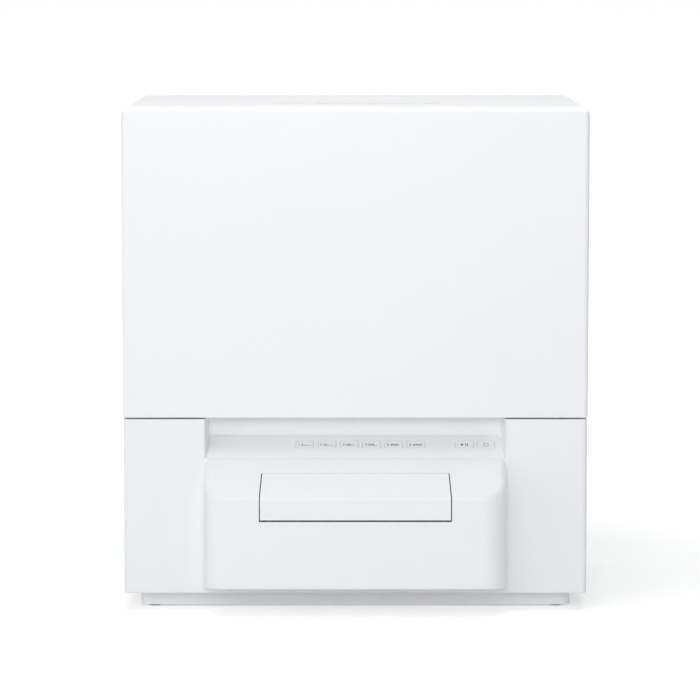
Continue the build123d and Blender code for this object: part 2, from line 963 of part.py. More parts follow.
# The louver hangs under the slit: a frame with slats between its long sides.
with BuildPart() as vent_louver:
    with BuildSketch(Plane.XY.offset(height - door_skin - louver_height)):
        with Locations((0, behind(slit_u))):
            Rectangle(slit_length + 2 * (louver_margin + louver_rim), louver_depth)
            Rectangle(
                slit_length + 2 * louver_margin, louver_depth - 2 * louver_rim, mode=Mode.SUBTRACT
            )
            with GridLocations(slit_length / slat_count, 0, slat_count, 1):
                Rectangle(slat_skin, louver_depth)
    extrude(amount=louver_height)

vent_louver.part.label = "vent_louver"
export_step(vent_louver.part, "parts/vent_louver.step")

# The tub: a moulded box, open at the front above a sill, with a rim for the gasket and two
# ledges on each side that carry the racks.
heater_legs = [
    (
        side * heater_radius * sin(radians(heater_gap / 2)),
        behind(sump_u) + heater_radius * cos(radians(heater_gap / 2)),
    )
    for side in (-1, 1)
]

with BuildPart() as tub_hollow:
    with BuildSketch(Plane.XZ.offset(-behind(tub_back_u - tub_skin))) as hollow_view:
        with Locations((0, tub_middle_z)):
            Rectangle(2 * (tub_half - tub_skin), tub_tall - 2 * tub_skin)
        fillet(hollow_view.vertices(), tub_corner - tub_skin)
    extrude(amount=tub_back_u - tub_skin - tub_front_u)
    fillet(tub_hollow.faces().sort_by(Axis.Y)[-1].edges(), tub_back_corner - tub_skin)

with BuildPart() as tub:
    with BuildSketch(Plane.XZ.offset(-behind(tub_back_u))) as tub_view:
        with Locations((0, tub_middle_z)):
            Rectangle(2 * tub_half, tub_tall)
        fillet(tub_view.vertices(), tub_corner)
    extrude(amount=tub_back_u - tub_front_u)
    fillet(tub.faces().sort_by(Axis.Y)[-1].edges(), tub_back_corner)
    with BuildSketch(Plane.XZ.offset(-behind(tub_front_u))) as rim_view:
        with Locations((0, tub_middle_z)):
            Rectangle(2 * rim_half, tub_tall + 2 * rim_grow)
        fillet(rim_view.vertices(), tub_corner)
    extrude(amount=rim_thickness)
    add(tub_hollow.part, mode=Mode.SUBTRACT)
    with BuildSketch(Plane.XZ.offset(-behind(tub_front_u))):
        with Locations((0, mouth_middle_z)):
            RectangleRounded(2 * mouth_half, mouth_tall, tub_corner - tub_skin)
    extrude(amount=rim_thickness, mode=Mode.SUBTRACT)
    with BuildSketch(Plane.XY.offset(tub_base)):
        with Locations((0, behind(sump_u))):
            Circle(sump_mouth)
        with Locations((valve_x, behind(valve_pipe_u))):
            Circle(valve_pipe_radius + seat)
        with Locations(*heater_legs):
            Circle(heater_tube + seat)
    extrude(amount=tub_skin, mode=Mode.SUBTRACT)
    with BuildSketch(Plane.XZ.offset(-behind(tub_back_u))):
        with Locations((nozzle_x, nozzle_z)):
            Circle(nozzle_neck + seat)
        with Locations((duct_middle_x, (duct_mouth_z + duct_top_z) / 2)):
            Rectangle(duct_width - 4 * duct_skin, duct_mouth_height)
    extrude(amount=tub_skin, mode=Mode.SUBTRACT)
    for side in (-1, 1):
        for ledge_z in (lower_ledge, upper_ledge):
            with BuildSketch(Plane.XZ.offset(-behind(rack_back_u))):
                with Locations((side * (tub_half - tub_skin / 2), ledge_z)):
                    Rectangle(
                        ledge_reach + tub_skin / 2,
                        ledge_thickness,
                        align=(Align.MIN if side < 0 else Align.MAX, Align.MAX),
                    )
            extrude(amount=rack_back_u - rack_front_u)

tub.part.label = "tub"
export_step(tub.part, "parts/tub.step")

# The door's gasket: a soft ring on the tub's rim, rounded where the door meets it.
gasket_front_u = inner_face_u + seat
gasket_back_u = tub_front_u - rim_thickness
with BuildPart() as door_gasket:
    with BuildSketch(Plane.XZ.offset(-behind(gasket_back_u))) as ring_view:
        with Locations((0, mouth_middle_z)):
            Rectangle(2 * (mouth_half + gasket_rim), mouth_tall + 2 * gasket_rim)
        fillet(ring_view.vertices(), tub_corner)
        with Locations((0, mouth_middle_z)):
            RectangleRounded(
                2 * (mouth_half + gasket_rim - gasket_width),
                mouth_tall + 2 * (gasket_rim - gasket_width),
                tub_corner - gasket_width,
                mode=Mode.SUBTRACT,
            )
    extrude(amount=gasket_back_u - gasket_front_u)
    fillet(door_gasket.faces().sort_by(Axis.Y)[0].edges(), gasket_round)

door_gasket.part.label = "door_gasket"
export_step(door_gasket.part, "parts/door_gasket.step")

# The base tray: a shallow plinth, set back all round, with a flange that carries the casing.
plinth_length = body_depth - plinth_u - plinth_back
plinth_middle_y = behind(plinth_u + plinth_length / 2)
tray_rim = body_base + case_skin + tray_skin
flange_half = case_half - case_skin - seat
flange_front_y = behind(return_depth + seat + case_skin + seat)
flange_back_y = rear_y - back_inset - case_skin - seat
feet = [
    (side * foot_x, behind(depth))
    for side in (-1, 1)
    for depth in (plinth_u + foot_inset, body_depth - plinth_back - foot_inset)
]
with BuildPart() as base_tray:
    with BuildSketch(Plane.XY.offset(foot_height)) as tray_plan:
        with Locations((0, plinth_middle_y)):
            RectangleRounded(2 * plinth_half, plinth_length, plinth_corner)
    extrude(amount=tray_rim - foot_height)
    with BuildSketch(Plane.XY.offset(tray_rim - tray_skin)):
        with Locations((0, (flange_front_y + flange_back_y) / 2)):
            Rectangle(2 * flange_half, flange_back_y - flange_front_y)
    extrude(amount=tray_skin)
    with BuildSketch(Plane.XY.offset(foot_height + tray_skin)):
        with Locations((0, plinth_middle_y)):
            RectangleRounded(
                2 * (plinth_half - tray_skin),
                plinth_length - 2 * tray_skin,
                plinth_corner - tray_skin,
            )
    extrude(amount=tray_rim, mode=Mode.SUBTRACT)
    with Locations(*[(x, y, foot_height) for x, y in feet]):
        Hole(foot_stud_radius, depth=2 * tray_skin)

base_tray.part.label = "base_tray"
export_step(base_tray.part, "parts/base_tray.step")

# Four rubber feet, pressed into the tray by their studs.
with BuildPart() as rubber_feet:
    with BuildSketch(Plane.XY):
        with Locations(*feet):
            Circle(foot_radius)
    extrude(amount=foot_height)
    with BuildSketch(Plane.XY.offset(foot_height)):
        with Locations(*feet):
            Circle(foot_stud_radius)
    extrude(amount=tray_skin + foot_stud_over)

rubber_feet.part.label = "rubber_feet"
export_step(rubber_feet.part, "parts/rubber_feet.step")

# Two pressed supports stand in the tray and carry the tub.
with BuildPart() as tub_supports:
    for side in (-1, 1):
        with BuildSketch(Plane.YZ.offset(side * support_x)):
            with Locations((behind(support_front_u), support_base)):
                Rectangle(support_length, tub_base - support_base, align=(Align.MIN, Align.MIN))
            with Locations((behind(support_front_u + support_length / 2), window_z)):
                with GridLocations(support_length / window_count, 0, window_count, 1):
                    SlotOverall(window_height, window_width, rotation=90, mode=Mode.SUBTRACT)
        extrude(amount=-side * support_skin)
        for level in (support_base, tub_base - support_skin):
            with BuildSketch(Plane.XY.offset(level)):
                with Locations((side * support_x, behind(support_front_u))):
                    Rectangle(
                        support_lip,
                        support_length,
                        align=(Align.MIN if side < 0 else Align.MAX, Align.MIN),
                    )
            extrude(amount=support_skin)

tub_supports.part.label = "tub_supports"
export_step(tub_supports.part, "parts/tub_supports.step")

# The side panels: pressed sheets that run from the base to the top cover, stepped at the
# front where the door's cap comes down over them.
panel_front_u = return_depth + seat
panel_top = height - cap_drop - seat
cover_front_u = top_return + seat
for name, side in (("side_panel_left", -1), ("side_panel_right", 1)):
    with BuildPart() as side_panel:
        with BuildSketch(Plane.YZ.offset(side * case_half)):
            outline(
                [
                    (behind(panel_front_u), body_base),
                    (rear_y, body_base),
                    (rear_y, panel_top),
                    (behind(panel_front_u), panel_top),
                ]
            )
        extrude(amount=-side * case_skin)
        for level in (body_base, panel_top - case_skin):
            with BuildSketch(Plane.XY.offset(level)):
                with Locations((side * case_half, behind(panel_front_u))):
                    Rectangle(
                        panel_lip,
                        back_y - case_skin - seat - behind(panel_front_u),
                        align=(Align.MIN if side < 0 else Align.MAX, Align.MIN),
                    )
            extrude(amount=case_skin)
        with BuildSketch(Plane.XZ.offset(-behind(panel_front_u))):
            with Locations((side * case_half, body_base)):
                Rectangle(
                    panel_lip,
                    panel_top - body_base,
                    align=(Align.MIN if side < 0 else Align.MAX, Align.MIN),
                )
        extrude(amount=-case_skin)
    side_panel.part.label = name
    export_step(side_panel.part, f"parts/{name}.step")

# The top cover: a cap with the casing's rounded corners, open below.
def cover_form(skin):
    with BuildPart() as form:
        with BuildSketch(Plane.XZ.offset(-rear_y)) as view:
            with Locations((0, panel_top + seat)):
                Rectangle(
                    2 * (case_half - skin),
                    height - panel_top - seat - skin,
                    align=(Align.CENTER, Align.MIN),
                )
            fillet(view.vertices().group_by(Axis.Y)[-1], case_corner - case_inset - skin)
        extrude(amount=body_depth - cover_front_u)
    return form.part


with BuildPart() as top_cover:
    add(cover_form(0))
    rear_edges = top_cover.faces().sort_by(Axis.Y)[-1].edges().sort_by(Axis.Z)
    fillet(rear_edges[1:], cover_back_edge)
    add(cover_form(case_skin), mode=Mode.SUBTRACT)

top_cover.part.label = "top_cover"
export_step(top_cover.part, "parts/top_cover.step")

# The rear panel closes the back: an air grille on the right, and a bay low on the left
# for the hoses and the cord.
panel_half = case_half - case_skin - seat
bay_middle_x = (bay_left + bay_right) / 2
bay_middle_z = (bay_base + bay_top) / 2
screw_low = body_base + screw_end_inset
screw_step = (height - screw_end_inset - screw_low) / (screw_rows - 1)
back_screws = [
    (side * (panel_half - screw_inset), screw_low + row * screw_step)
    for side in (-1, 1)
    for row in range(screw_rows)
]
with BuildPart() as rear_panel:
    with BuildSketch(Plane.XZ.offset(-back_y)) as back_view:
        with Locations((0, body_base + case_skin)):
            Rectangle(
                2 * panel_half,
                height - case_skin - seat - body_base - case_skin,
                align=(Align.CENTER, Align.MIN),
            )
        fillet(back_view.vertices().group_by(Axis.Y)[-1], case_corner - case_inset - case_skin)
    extrude(amount=case_skin)
    with BuildSketch(Plane.XZ.offset(-back_y)):
        with Locations((bay_middle_x, bay_middle_z)):
            RectangleRounded(bay_right - bay_left, bay_top - bay_base, bay_corner)
    extrude(amount=bay_depth)
    with BuildSketch(Plane.XZ.offset(-back_y)):
        with Locations((bay_middle_x, bay_middle_z)):
            RectangleRounded(
                bay_right - bay_left - 2 * case_skin,
                bay_top - bay_base - 2 * case_skin,
                bay_corner - case_skin,
            )
    extrude(amount=bay_depth - case_skin, mode=Mode.SUBTRACT)
    with BuildSketch(Plane.XZ.offset(-back_y)):
        with Locations((drain_x, port_z)):
            Circle(spigot_radius + seat)
        with Locations((valve_x, valve_z)):
            Circle(supply_radius + seat)
        with Locations((gland_x, port_z)):
            Circle(gland_radius + seat)
        with Locations((grille_x, grille_z)):
            with GridLocations(grille_column_pitch, grille_pitch, grille_columns, grille_rows):
                SlotOverall(grille_slot_length, grille_slot)
        with Locations(*back_screws):
            Circle(screw_radius)
    extrude(amount=bay_depth + over, mode=Mode.SUBTRACT)

rear_panel.part.label = "rear_panel"
export_step(rear_panel.part, "parts/rear_panel.step")

# Screws with chamfered heads hold the rear panel; their shanks end just behind it.
with BuildPart() as rear_screws:
    with BuildSketch(Plane.XZ.offset(-back_y)):
        with Locations(*back_screws):
            Circle(screw_head_radius)
    extrude(amount=-screw_head)
    chamfer(rear_screws.faces().group_by(Axis.Y)[-1].edges(), screw_head_edge)
    with BuildSketch(Plane.XZ.offset(-back_y)):
        with Locations(*back_screws):
            Circle(screw_radius)
    extrude(amount=case_skin + screw_reach)

rear_screws.part.label = "rear_screws"
export_step(rear_screws.part, "parts/rear_screws.step")

# The sump hangs under the tub's floor: a bowl that narrows to a well with four necks.
with BuildPart() as sump:
    with BuildSketch(Plane.XZ.offset(-behind(sump_u))):
        outline(
            [
                (0, well_base),
                (well_radius, well_base),
                (well_radius, well_top),
                (sump_mouth + sump_skin, sump_shoulder),
                (sump_mouth + sump_skin, tub_base - sump_skin),
                (sump_flange, tub_base - sump_skin),
                (sump_flange, tub_base),
                (0, tub_base),
            ]
        )
    revolve(axis=Axis((0, behind(sump_u), 0), (0, 0, 1)))
    with BuildSketch(Plane.YZ):
        with Locations((behind(sump_u), port_z)):
            Circle(port_radius)
    extrude(amount=pump_face, both=True)
    with BuildSketch(Plane.XZ.offset(-behind(sump_u))):
        with Locations((0, neck_z)):
            Circle(neck_radius)
    extrude(amount=sump_u - fill_end_u + pipe_end_gap)
    with BuildSketch(Plane.XZ.offset(-behind(sump_u))):
        outline(
            [
                (0, well_base + sump_skin),
                (well_radius - sump_skin, well_base + sump_skin),
                (well_radius - sump_skin, well_top + over),
                (sump_mouth, sump_shoulder + over),
                (sump_mouth, tub_base),
                (0, tub_base),
            ]
        )
    revolve(axis=Axis((0, behind(sump_u), 0), (0, 0, 1)), mode=Mode.SUBTRACT)
    with BuildSketch(Plane.YZ):
        with Locations((behind(sump_u), port_z)):
            Circle(port_radius - sump_skin)
    extrude(amount=pump_face, both=True, mode=Mode.SUBTRACT)
    with BuildSketch(Plane.XZ.offset(-behind(sump_u))):
        with Locations((0, neck_z)):
            Circle(neck_radius - neck_skin)
    extrude(amount=sump_u, mode=Mode.SUBTRACT)

sump.part.label = "sump"
export_step(sump.part, "parts/sump.step")

# The filter plate closes the sump's mouth; the residue cup hangs through its middle.
plate_top = tub_base + tub_skin + filter_plate_skin
with BuildPart() as filter_plate:
    with BuildSketch(Plane.XY.offset(tub_base + tub_skin)):
        with Locations((0, behind(sump_u))):
            Circle(sump_mouth + plate_lap)
            Circle(cup_radius + seat, mode=Mode.SUBTRACT)
            with PolarLocations(plate_hole_place, plate_hole_count):
                Circle(plate_hole_radius, mode=Mode.SUBTRACT)
    extrude(amount=filter_plate_skin)

filter_plate.part.label = "filter_plate"
export_step(filter_plate.part, "parts/filter_plate.step")

with BuildPart() as residue_filter:
    with BuildSketch(Plane.XY.offset(plate_top - cup_depth)):
        with Locations((0, behind(sump_u))):
            Circle(cup_radius - cup_inset)
    extrude(amount=cup_depth)
    with BuildSketch(Plane.XY.offset(plate_top)):
        with Locations((0, behind(sump_u))):
            Circle(cup_radius + cup_rim)
    extrude(amount=cup_skin)
    with BuildSketch(Plane.XY.offset(plate_top - cup_depth + cup_skin)):
        with Locations((0, behind(sump_u))):
            Circle(cup_radius - cup_inset - cup_skin)
            Circle(hub_radius, mode=Mode.SUBTRACT)
    extrude(amount=cup_depth, mode=Mode.SUBTRACT)
    with BuildSketch(Plane.YZ.offset(-cup_radius)):
        with Locations((behind(sump_u), plate_top - cup_depth / 2)):
            with GridLocations(cup_slot_pitch, 0, cup_slot_count, 1):
                Rectangle(cup_slot_width, cup_slot_length)
    extrude(amount=2 * cup_radius, mode=Mode.SUBTRACT)

residue_filter.part.label = "residue_filter"
export_step(residue_filter.part, "parts/residue_filter.step")

# The spray arm turns on a post that stands on the residue cup.
cup_top = plate_top + cup_skin
arm_base = plate_top + arm_clear
with BuildPart() as spray_hub:
    with BuildSketch(Plane.XY.offset(cup_top)):
        with Locations((0, behind(sump_u))):
            Circle(hub_radius)
    extrude(amount=arm_base - seat - cup_top)
    with BuildSketch(Plane.XY.offset(arm_base - seat)):
        with Locations((0, behind(sump_u))):
            Circle(pivot_radius)
    extrude(amount=arm_thickness + 2 * seat)
    with BuildSketch(Plane.XY.offset(arm_base + arm_thickness + seat)):
        with Locations((0, behind(sump_u))):
            Circle(hub_radius)
    extrude(amount=hub_cap)
    fillet(spray_hub.faces().sort_by(Axis.Z)[-1].edges(), hub_round)

spray_hub.part.label = "spray_hub"
export_step(spray_hub.part, "parts/spray_hub.step")

with BuildPart() as spray_arm:
    with BuildSketch(Plane.XY.offset(arm_base)):
        with Locations((0, behind(sump_u))):
            Circle(arm_boss)
        for side in (-1, 1):
            with Locations((side * (arm_reach - arm_tip), behind(sump_u))):
                Circle(arm_tip)
        make_hull()
    extrude(amount=arm_thickness)
    fillet(spray_arm.faces().sort_by(Axis.Z)[-1].edges(), arm_round)
    with BuildSketch(Plane.XY.offset(arm_base)):
        with Locations((0, behind(sump_u))):
            Circle(pivot_radius + seat)
    extrude(amount=arm_thickness, mode=Mode.SUBTRACT)
    with BuildSketch(Plane.XY.offset(arm_base + arm_thickness)):
        for side in (-1, 1):
            for reach in jet_reaches:
                with Locations((side * reach, behind(sump_u) + side * jet_offset)):
                    Circle(jet_radius)
    extrude(amount=-arm_thickness / 2, mode=Mode.SUBTRACT)

spray_arm.part.label = "spray_arm"
export_step(spray_arm.part, "parts/spray_arm.step")

# The heater: a rod bent into an open ring, with both ends down through the tub's floor.
heater_z = tub_base + tub_skin + heater_rise
with BuildPart() as heater:
    with BuildSketch(Plane.YZ):
        with Locations((behind(sump_u) + heater_radius, heater_z)):
            Circle(heater_tube)
    sump_axis = Axis((0, behind(sump_u), 0), (0, 0, 1))
    ring = revolve(axis=sump_axis, revolution_arc=360 - heater_gap, mode=Mode.PRIVATE)
    add(ring.rotate(sump_axis, heater_gap / 2))
    with BuildSketch(Plane.XY.offset(heater_z + heater_tube)):
        with Locations(*heater_legs):
            Circle(heater_tube)
    extrude(amount=-heater_tube - heater_drop)

heater.part.label = "heater"
export_step(heater.part, "parts/heater.step")

# The wash pump: a volute against the sump's right neck, its impeller and its motor.
with BuildPart() as wash_volute:
    with BuildSketch(Plane.YZ.offset(volute_face)):
        with Locations((behind(sump_u), port_z)):
            Circle(volute_radius)
    extrude(amount=volute_width)
    fillet(wash_volute.faces().sort_by(Axis.X)[0].edges(), volute_round)
    with BuildSketch(Plane.XY.offset(port_z)):
        with Locations((nozzle_x, behind(sump_u))):
            Circle(wash_pipe_radius)
    extrude(amount=volute_radius + outlet_rise)
    with BuildSketch(Plane.YZ.offset(volute_face + volute_skin)):
        with Locations((behind(sump_u), port_z)):
            Circle(volute_radius - volute_skin)
    extrude(amount=volute_width - 2 * volute_skin, mode=Mode.SUBTRACT)
    with BuildSketch(Plane.YZ.offset(volute_face)):
        with Locations((behind(sump_u), port_z)):
            Circle(port_radius - sump_skin)
    extrude(amount=volute_skin, mode=Mode.SUBTRACT)
    with BuildSketch(Plane.YZ.offset(volute_back - volute_skin)):
        with Locations((behind(sump_u), port_z)):
            Circle(shaft_radius + seat)
    extrude(amount=volute_skin, mode=Mode.SUBTRACT)
    with BuildSketch(Plane.XY.offset(port_z + impeller_radius)):
        with Locations((nozzle_x, behind(sump_u))):
            Circle(wash_pipe_radius - wash_pipe_skin)
    extrude(amount=volute_radius, mode=Mode.SUBTRACT)

wash_volute.part.label = "wash_volute"
export_step(wash_volute.part, "parts/wash_volute.step")

impeller_face = volute_face + (volute_width - impeller_width) / 2
with BuildPart() as wash_impeller:
    with BuildSketch(Plane.YZ.offset(impeller_face + impeller_width - impeller_disc)):
        with Locations((behind(sump_u), port_z)):
            Circle(impeller_radius)
    extrude(amount=impeller_disc)
    with BuildSketch(Plane.YZ.offset(impeller_face)):
        with Locations((behind(sump_u), port_z)):
            Circle(rotor_hub_radius)
            with PolarLocations(vane_place, vane_count):
                Rectangle(vane_length, vane_skin, rotation=vane_angle)
    extrude(amount=impeller_width - impeller_disc)
    with BuildSketch(Plane.YZ.offset(impeller_face + impeller_width)):
        with Locations((behind(sump_u), port_z)):
            Circle(shaft_radius)
    extrude(amount=volute_back - impeller_face - impeller_width + shaft_reach)

wash_impeller.part.label = "wash_impeller"
export_step(wash_impeller.part, "parts/wash_impeller.step")

with BuildPart() as wash_motor:
    with BuildSketch(Plane.YZ.offset(volute_back + seat)):
        with Locations((behind(sump_u), port_z)):
            Circle(motor_radius)
    extrude(amount=motor_length)
    fillet(wash_motor.faces().sort_by(Axis.X)[-1].edges(), motor_round)
    with BuildSketch(Plane.XY.offset(support_base)):
        with Locations((volute_back + motor_length / 2, behind(sump_u))):
            Rectangle(motor_foot_length, motor_foot_width)
    extrude(amount=port_z - motor_foot_rise * motor_radius - support_base)
    with BuildSketch(Plane.YZ.offset(volute_back + seat)):
        with Locations((behind(sump_u), port_z)):
            Circle(shaft_radius + seat)
    extrude(amount=shaft_reach + over, mode=Mode.SUBTRACT)

wash_motor.part.label = "wash_motor"
export_step(wash_motor.part, "parts/wash_motor.step")

# The wash pipe climbs from the volute, runs back under the tub and up behind it.
socket_base = nozzle_z - socket_below
pipe_start = (nozzle_x, behind(sump_u), port_z + volute_radius + outlet_rise + seat)
pipe_corners = [
    pipe_start,
    (nozzle_x, behind(sump_u), wash_pipe_level),
    (nozzle_x, behind(pipe_back_u), wash_pipe_level),
    (nozzle_x, behind(pipe_back_u), socket_base - seat),
]
with BuildPart() as wash_pipe:
    with BuildLine():
        FilletPolyline(*pipe_corners, radius=wash_pipe_bend)
    with BuildSketch(Plane.XY.offset(pipe_start[2])):
        with Locations(pipe_start[:2]):
            Circle(wash_pipe_radius)
            Circle(wash_pipe_radius - wash_pipe_skin, mode=Mode.SUBTRACT)
    sweep()

wash_pipe.part.label = "wash_pipe"
export_step(wash_pipe.part, "parts/wash_pipe.step")

# The rear nozzle: a perforated rose inside the tub, fed by a socket behind its wall.
rose_back_u = tub_back_u - tub_skin
with BuildPart() as rear_nozzle:
    with BuildSketch(Plane.XZ.offset(-behind(rose_back_u))):
        with Locations((nozzle_x, nozzle_z)):
            Circle(rose_radius)
    extrude(amount=rose_height)
    fillet(rear_nozzle.faces().sort_by(Axis.Y)[0].edges(), rose_round)
    with BuildSketch(Plane.XZ.offset(-behind(rose_back_u))):
        with Locations((nozzle_x, nozzle_z)):
            Circle(nozzle_neck)
    extrude(amount=-tub_skin - 2 * seat)
    with BuildSketch(Plane.XY.offset(socket_base)):
        with Locations((nozzle_x, behind(tub_back_u + seat))):
            Rectangle(
                socket_width,
                2 * (pipe_back_u - tub_back_u - seat),
                align=(Align.CENTER, Align.MIN),
            )
    extrude(amount=nozzle_z + socket_above - socket_base)
    with BuildSketch(Plane.XZ.offset(-behind(rose_back_u - rose_height))):
        with Locations((nozzle_x, nozzle_z)):
            with PolarLocations(rose_jet_place, rose_jets):
                Circle(jet_radius)
    extrude(amount=-rose_height / 2, mode=Mode.SUBTRACT)
    with BuildSketch(Plane.XY.offset(socket_base)):
        with Locations((nozzle_x, behind(pipe_back_u))):
            Circle(wash_pipe_radius - wash_pipe_skin)
    extrude(amount=nozzle_z - socket_base, mode=Mode.SUBTRACT)

rear_nozzle.part.label = "rear_nozzle"
export_step(rear_nozzle.part, "parts/rear_nozzle.step")

# The drain pump on the sump's left neck, its straight hose and the spigot in the bay.
with BuildPart() as drain_pump:
    with BuildSketch(Plane.YZ.offset(-volute_face)):
        with Locations((behind(sump_u), port_z)):
            Circle(drain_volute_radius)
    extrude(amount=-drain_volute_width)
    with BuildSketch(Plane.YZ.offset(-volute_face - drain_volute_width)):
        with Locations((behind(sump_u), port_z)):
            Circle(drain_motor_radius)
    extrude(amount=-drain_motor_length)
    fillet(drain_pump.faces().sort_by(Axis.X)[0].edges(), drain_motor_round)
    with BuildSketch(Plane.XZ.offset(-behind(sump_u))):
        with Locations((drain_x, port_z)):
            Circle(drain_neck)
    extrude(amount=-drain_volute_radius - drain_neck_reach)
    with BuildSketch(Plane.XY.offset(support_base)):
        with Locations((-volute_face - drain_volute_width - drain_foot_gap, behind(sump_u))):
            Rectangle(
                drain_foot_length, drain_motor_radius, align=(Align.MAX, Align.CENTER)
            )
    extrude(amount=port_z - drain_foot_rise * drain_motor_radius - support_base)

drain_pump.part.label = "drain_pump"
export_step(drain_pump.part, "parts/drain_pump.step")

hose_start_u = sump_u + drain_volute_radius + hose_start_gap
with BuildPart() as drain_hose:
    with BuildSketch(Plane.XZ.offset(-behind(hose_start_u))):
        with Locations((drain_x, port_z)):
            Circle(drain_neck + seat + drain_hose_skin)
            Circle(drain_neck + seat, mode=Mode.SUBTRACT)
    extrude(amount=-(barb_end_u - seat - hose_start_u))

drain_hose.part.label = "drain_hose"
export_step(drain_hose.part, "parts/drain_hose.step")

# The drain spigot: a barb for the inner hose, a flange, a relieved root in the panel's hole
# and a plain end for the outer hose.
with BuildPart() as drain_spigot:
    with BuildSketch(Plane.XZ.offset(-behind(barb_end_u - barb_length))):
        with Locations((drain_x, port_z)):
            Circle(drain_neck)
    extrude(amount=-barb_length)
    with BuildSketch(Plane.XZ.offset(-behind(barb_end_u))):
        with Locations((drain_x, port_z)):
            Circle(spigot_radius + spigot_flange)
    extrude(amount=-flange_skin)
    with BuildSketch(Plane.XZ.offset(-behind(barb_end_u + flange_skin))):
        with Locations((drain_x, port_z)):
            Circle(spigot_radius - root_relief)
    extrude(amount=-(spigot_free_u - barb_end_u - flange_skin))
    with BuildSketch(Plane.XZ.offset(-behind(spigot_free_u))):
        with Locations((drain_x, port_z)):
            Circle(spigot_radius)
    extrude(amount=-(spigot_end_u - spigot_free_u))
    with BuildSketch(Plane.XZ.offset(-behind(barb_end_u - barb_length))):
        with Locations((drain_x, port_z)):
            Circle(drain_neck - neck_skin)
    extrude(amount=-(spigot_end_u - barb_end_u + barb_length), mode=Mode.SUBTRACT)

drain_spigot.part.label = "drain_spigot"
export_step(drain_spigot.part, "parts/drain_spigot.step")

# The supply valve: a body behind the bay's floor, a plain inlet and a riser to the tub.
with BuildPart() as supply_valve:
    with BuildSketch(Plane.XZ.offset(-behind(barb_end_u + flange_skin))):
        with Locations((valve_x, valve_z)):
            Circle(supply_radius + supply_flange)
    extrude(amount=flange_skin + over)
    with BuildSketch(Plane.XZ.offset(-behind(barb_end_u))):
        with Locations((valve_x, valve_z)):
            RectangleRounded(valve_width, valve_height, valve_corner)
    extrude(amount=2 * (barb_end_u - valve_pipe_u))
    with BuildSketch(Plane.XZ.offset(-behind(barb_end_u + flange_skin))):
        with Locations((valve_x, valve_z)):
            Circle(supply_radius - root_relief)
    extrude(amount=-(spigot_free_u - barb_end_u - flange_skin))
    with BuildSketch(Plane.XZ.offset(-behind(spigot_free_u))):
        with Locations((valve_x, valve_z)):
            Circle(supply_radius)
    extrude(amount=-(spigot_end_u - spigot_free_u))
    with BuildSketch(Plane.XY.offset(valve_z)):
        with Locations((valve_x, behind(valve_pipe_u))):
            Circle(valve_pipe_radius)
    extrude(amount=tub_base + tub_skin + valve_pipe_rise - valve_z)
    with BuildSketch(Plane.XZ.offset(-behind(valve_pipe_u + valve_pipe_radius))):
        with Locations((valve_x, valve_z)):
            Circle(supply_radius - supply_wall)
    extrude(amount=-body_depth, mode=Mode.SUBTRACT)
    with BuildSketch(Plane.XY.offset(valve_z + supply_radius)):
        with Locations((valve_x, behind(valve_pipe_u))):
            Circle(valve_pipe_radius - valve_pipe_skin)
    extrude(amount=tub_base, mode=Mode.SUBTRACT)

supply_valve.part.label = "supply_valve"
export_step(supply_valve.part, "parts/supply_valve.step")

# The gland for the mains cord, in the same bay.
with BuildPart() as cord_gland:
    with BuildSketch(Plane.XZ.offset(-behind(barb_end_u))):
        with Locations((gland_x, port_z)):
            Circle(gland_radius + gland_flange)
    extrude(amount=-flange_skin)
    with BuildSketch(Plane.XZ.offset(-behind(barb_end_u + flange_skin))):
        with Locations((gland_x, port_z)):
            Circle(gland_radius)
    extrude(amount=-(spigot_end_u - barb_end_u - flange_skin), taper=gland_slant)
    with BuildSketch(Plane.XZ.offset(-behind(barb_end_u))):
        with Locations((gland_x, port_z)):
            Circle(gland_radius / 2)
    extrude(amount=-body_depth, mode=Mode.SUBTRACT)

cord_gland.part.label = "cord_gland"
export_step(cord_gland.part, "parts/cord_gland.step")

# The drying blower: a scroll on a foot with a spindle inside, its wheel, and the duct up
# the tub's back.
blower_top = blower_base + blower_height
outlet_half = duct_width / 2
wheel_base = blower_base + (blower_height - wheel_height) / 2
wheel_top = wheel_base + wheel_height
with BuildPart() as blower_housing:
    with BuildSketch(Plane.XY.offset(blower_base)):
        with Locations((duct_middle_x, behind(blower_u))):
            Circle(blower_radius)
            Rectangle(duct_width, blower_radius, align=(Align.CENTER, Align.MIN))
    extrude(amount=blower_height)
    with BuildSketch(Plane.XY.offset(support_base)):
        with Locations((duct_middle_x, behind(blower_u))):
            Circle(blower_foot_radius)
    extrude(amount=blower_base - support_base)
    with BuildSketch(Plane.XY.offset(blower_base + blower_skin)):
        with Locations((duct_middle_x, behind(blower_u))):
            Circle(blower_radius - blower_skin)
            Rectangle(
                2 * (outlet_half - duct_skin), blower_radius, align=(Align.CENTER, Align.MIN)
            )
    extrude(amount=blower_height - 2 * blower_skin, mode=Mode.SUBTRACT)
    with BuildSketch(Plane.XY.offset(blower_top - blower_skin)):
        with Locations((duct_middle_x, behind(blower_u))):
            Circle(blower_eye)
    extrude(amount=blower_skin, mode=Mode.SUBTRACT)
    with BuildSketch(Plane.XY.offset(blower_base + blower_skin)):
        with Locations((duct_middle_x, behind(blower_u))):
            Circle(blower_boss_radius)
    extrude(amount=wheel_base - seat - blower_base - blower_skin)
    with BuildSketch(Plane.XY.offset(wheel_base - seat)):
        with Locations((duct_middle_x, behind(blower_u))):
            Circle(shaft_radius)
    extrude(amount=wheel_height - wheel_disc + 2 * seat)
    with BuildSketch(Plane.XY.offset(wheel_top - wheel_disc + seat)):
        with Locations((duct_middle_x, behind(blower_u))):
            Circle(spindle_cap_radius)
    extrude(amount=spindle_cap)

blower_housing.part.label = "blower_housing"
export_step(blower_housing.part, "parts/blower_housing.step")

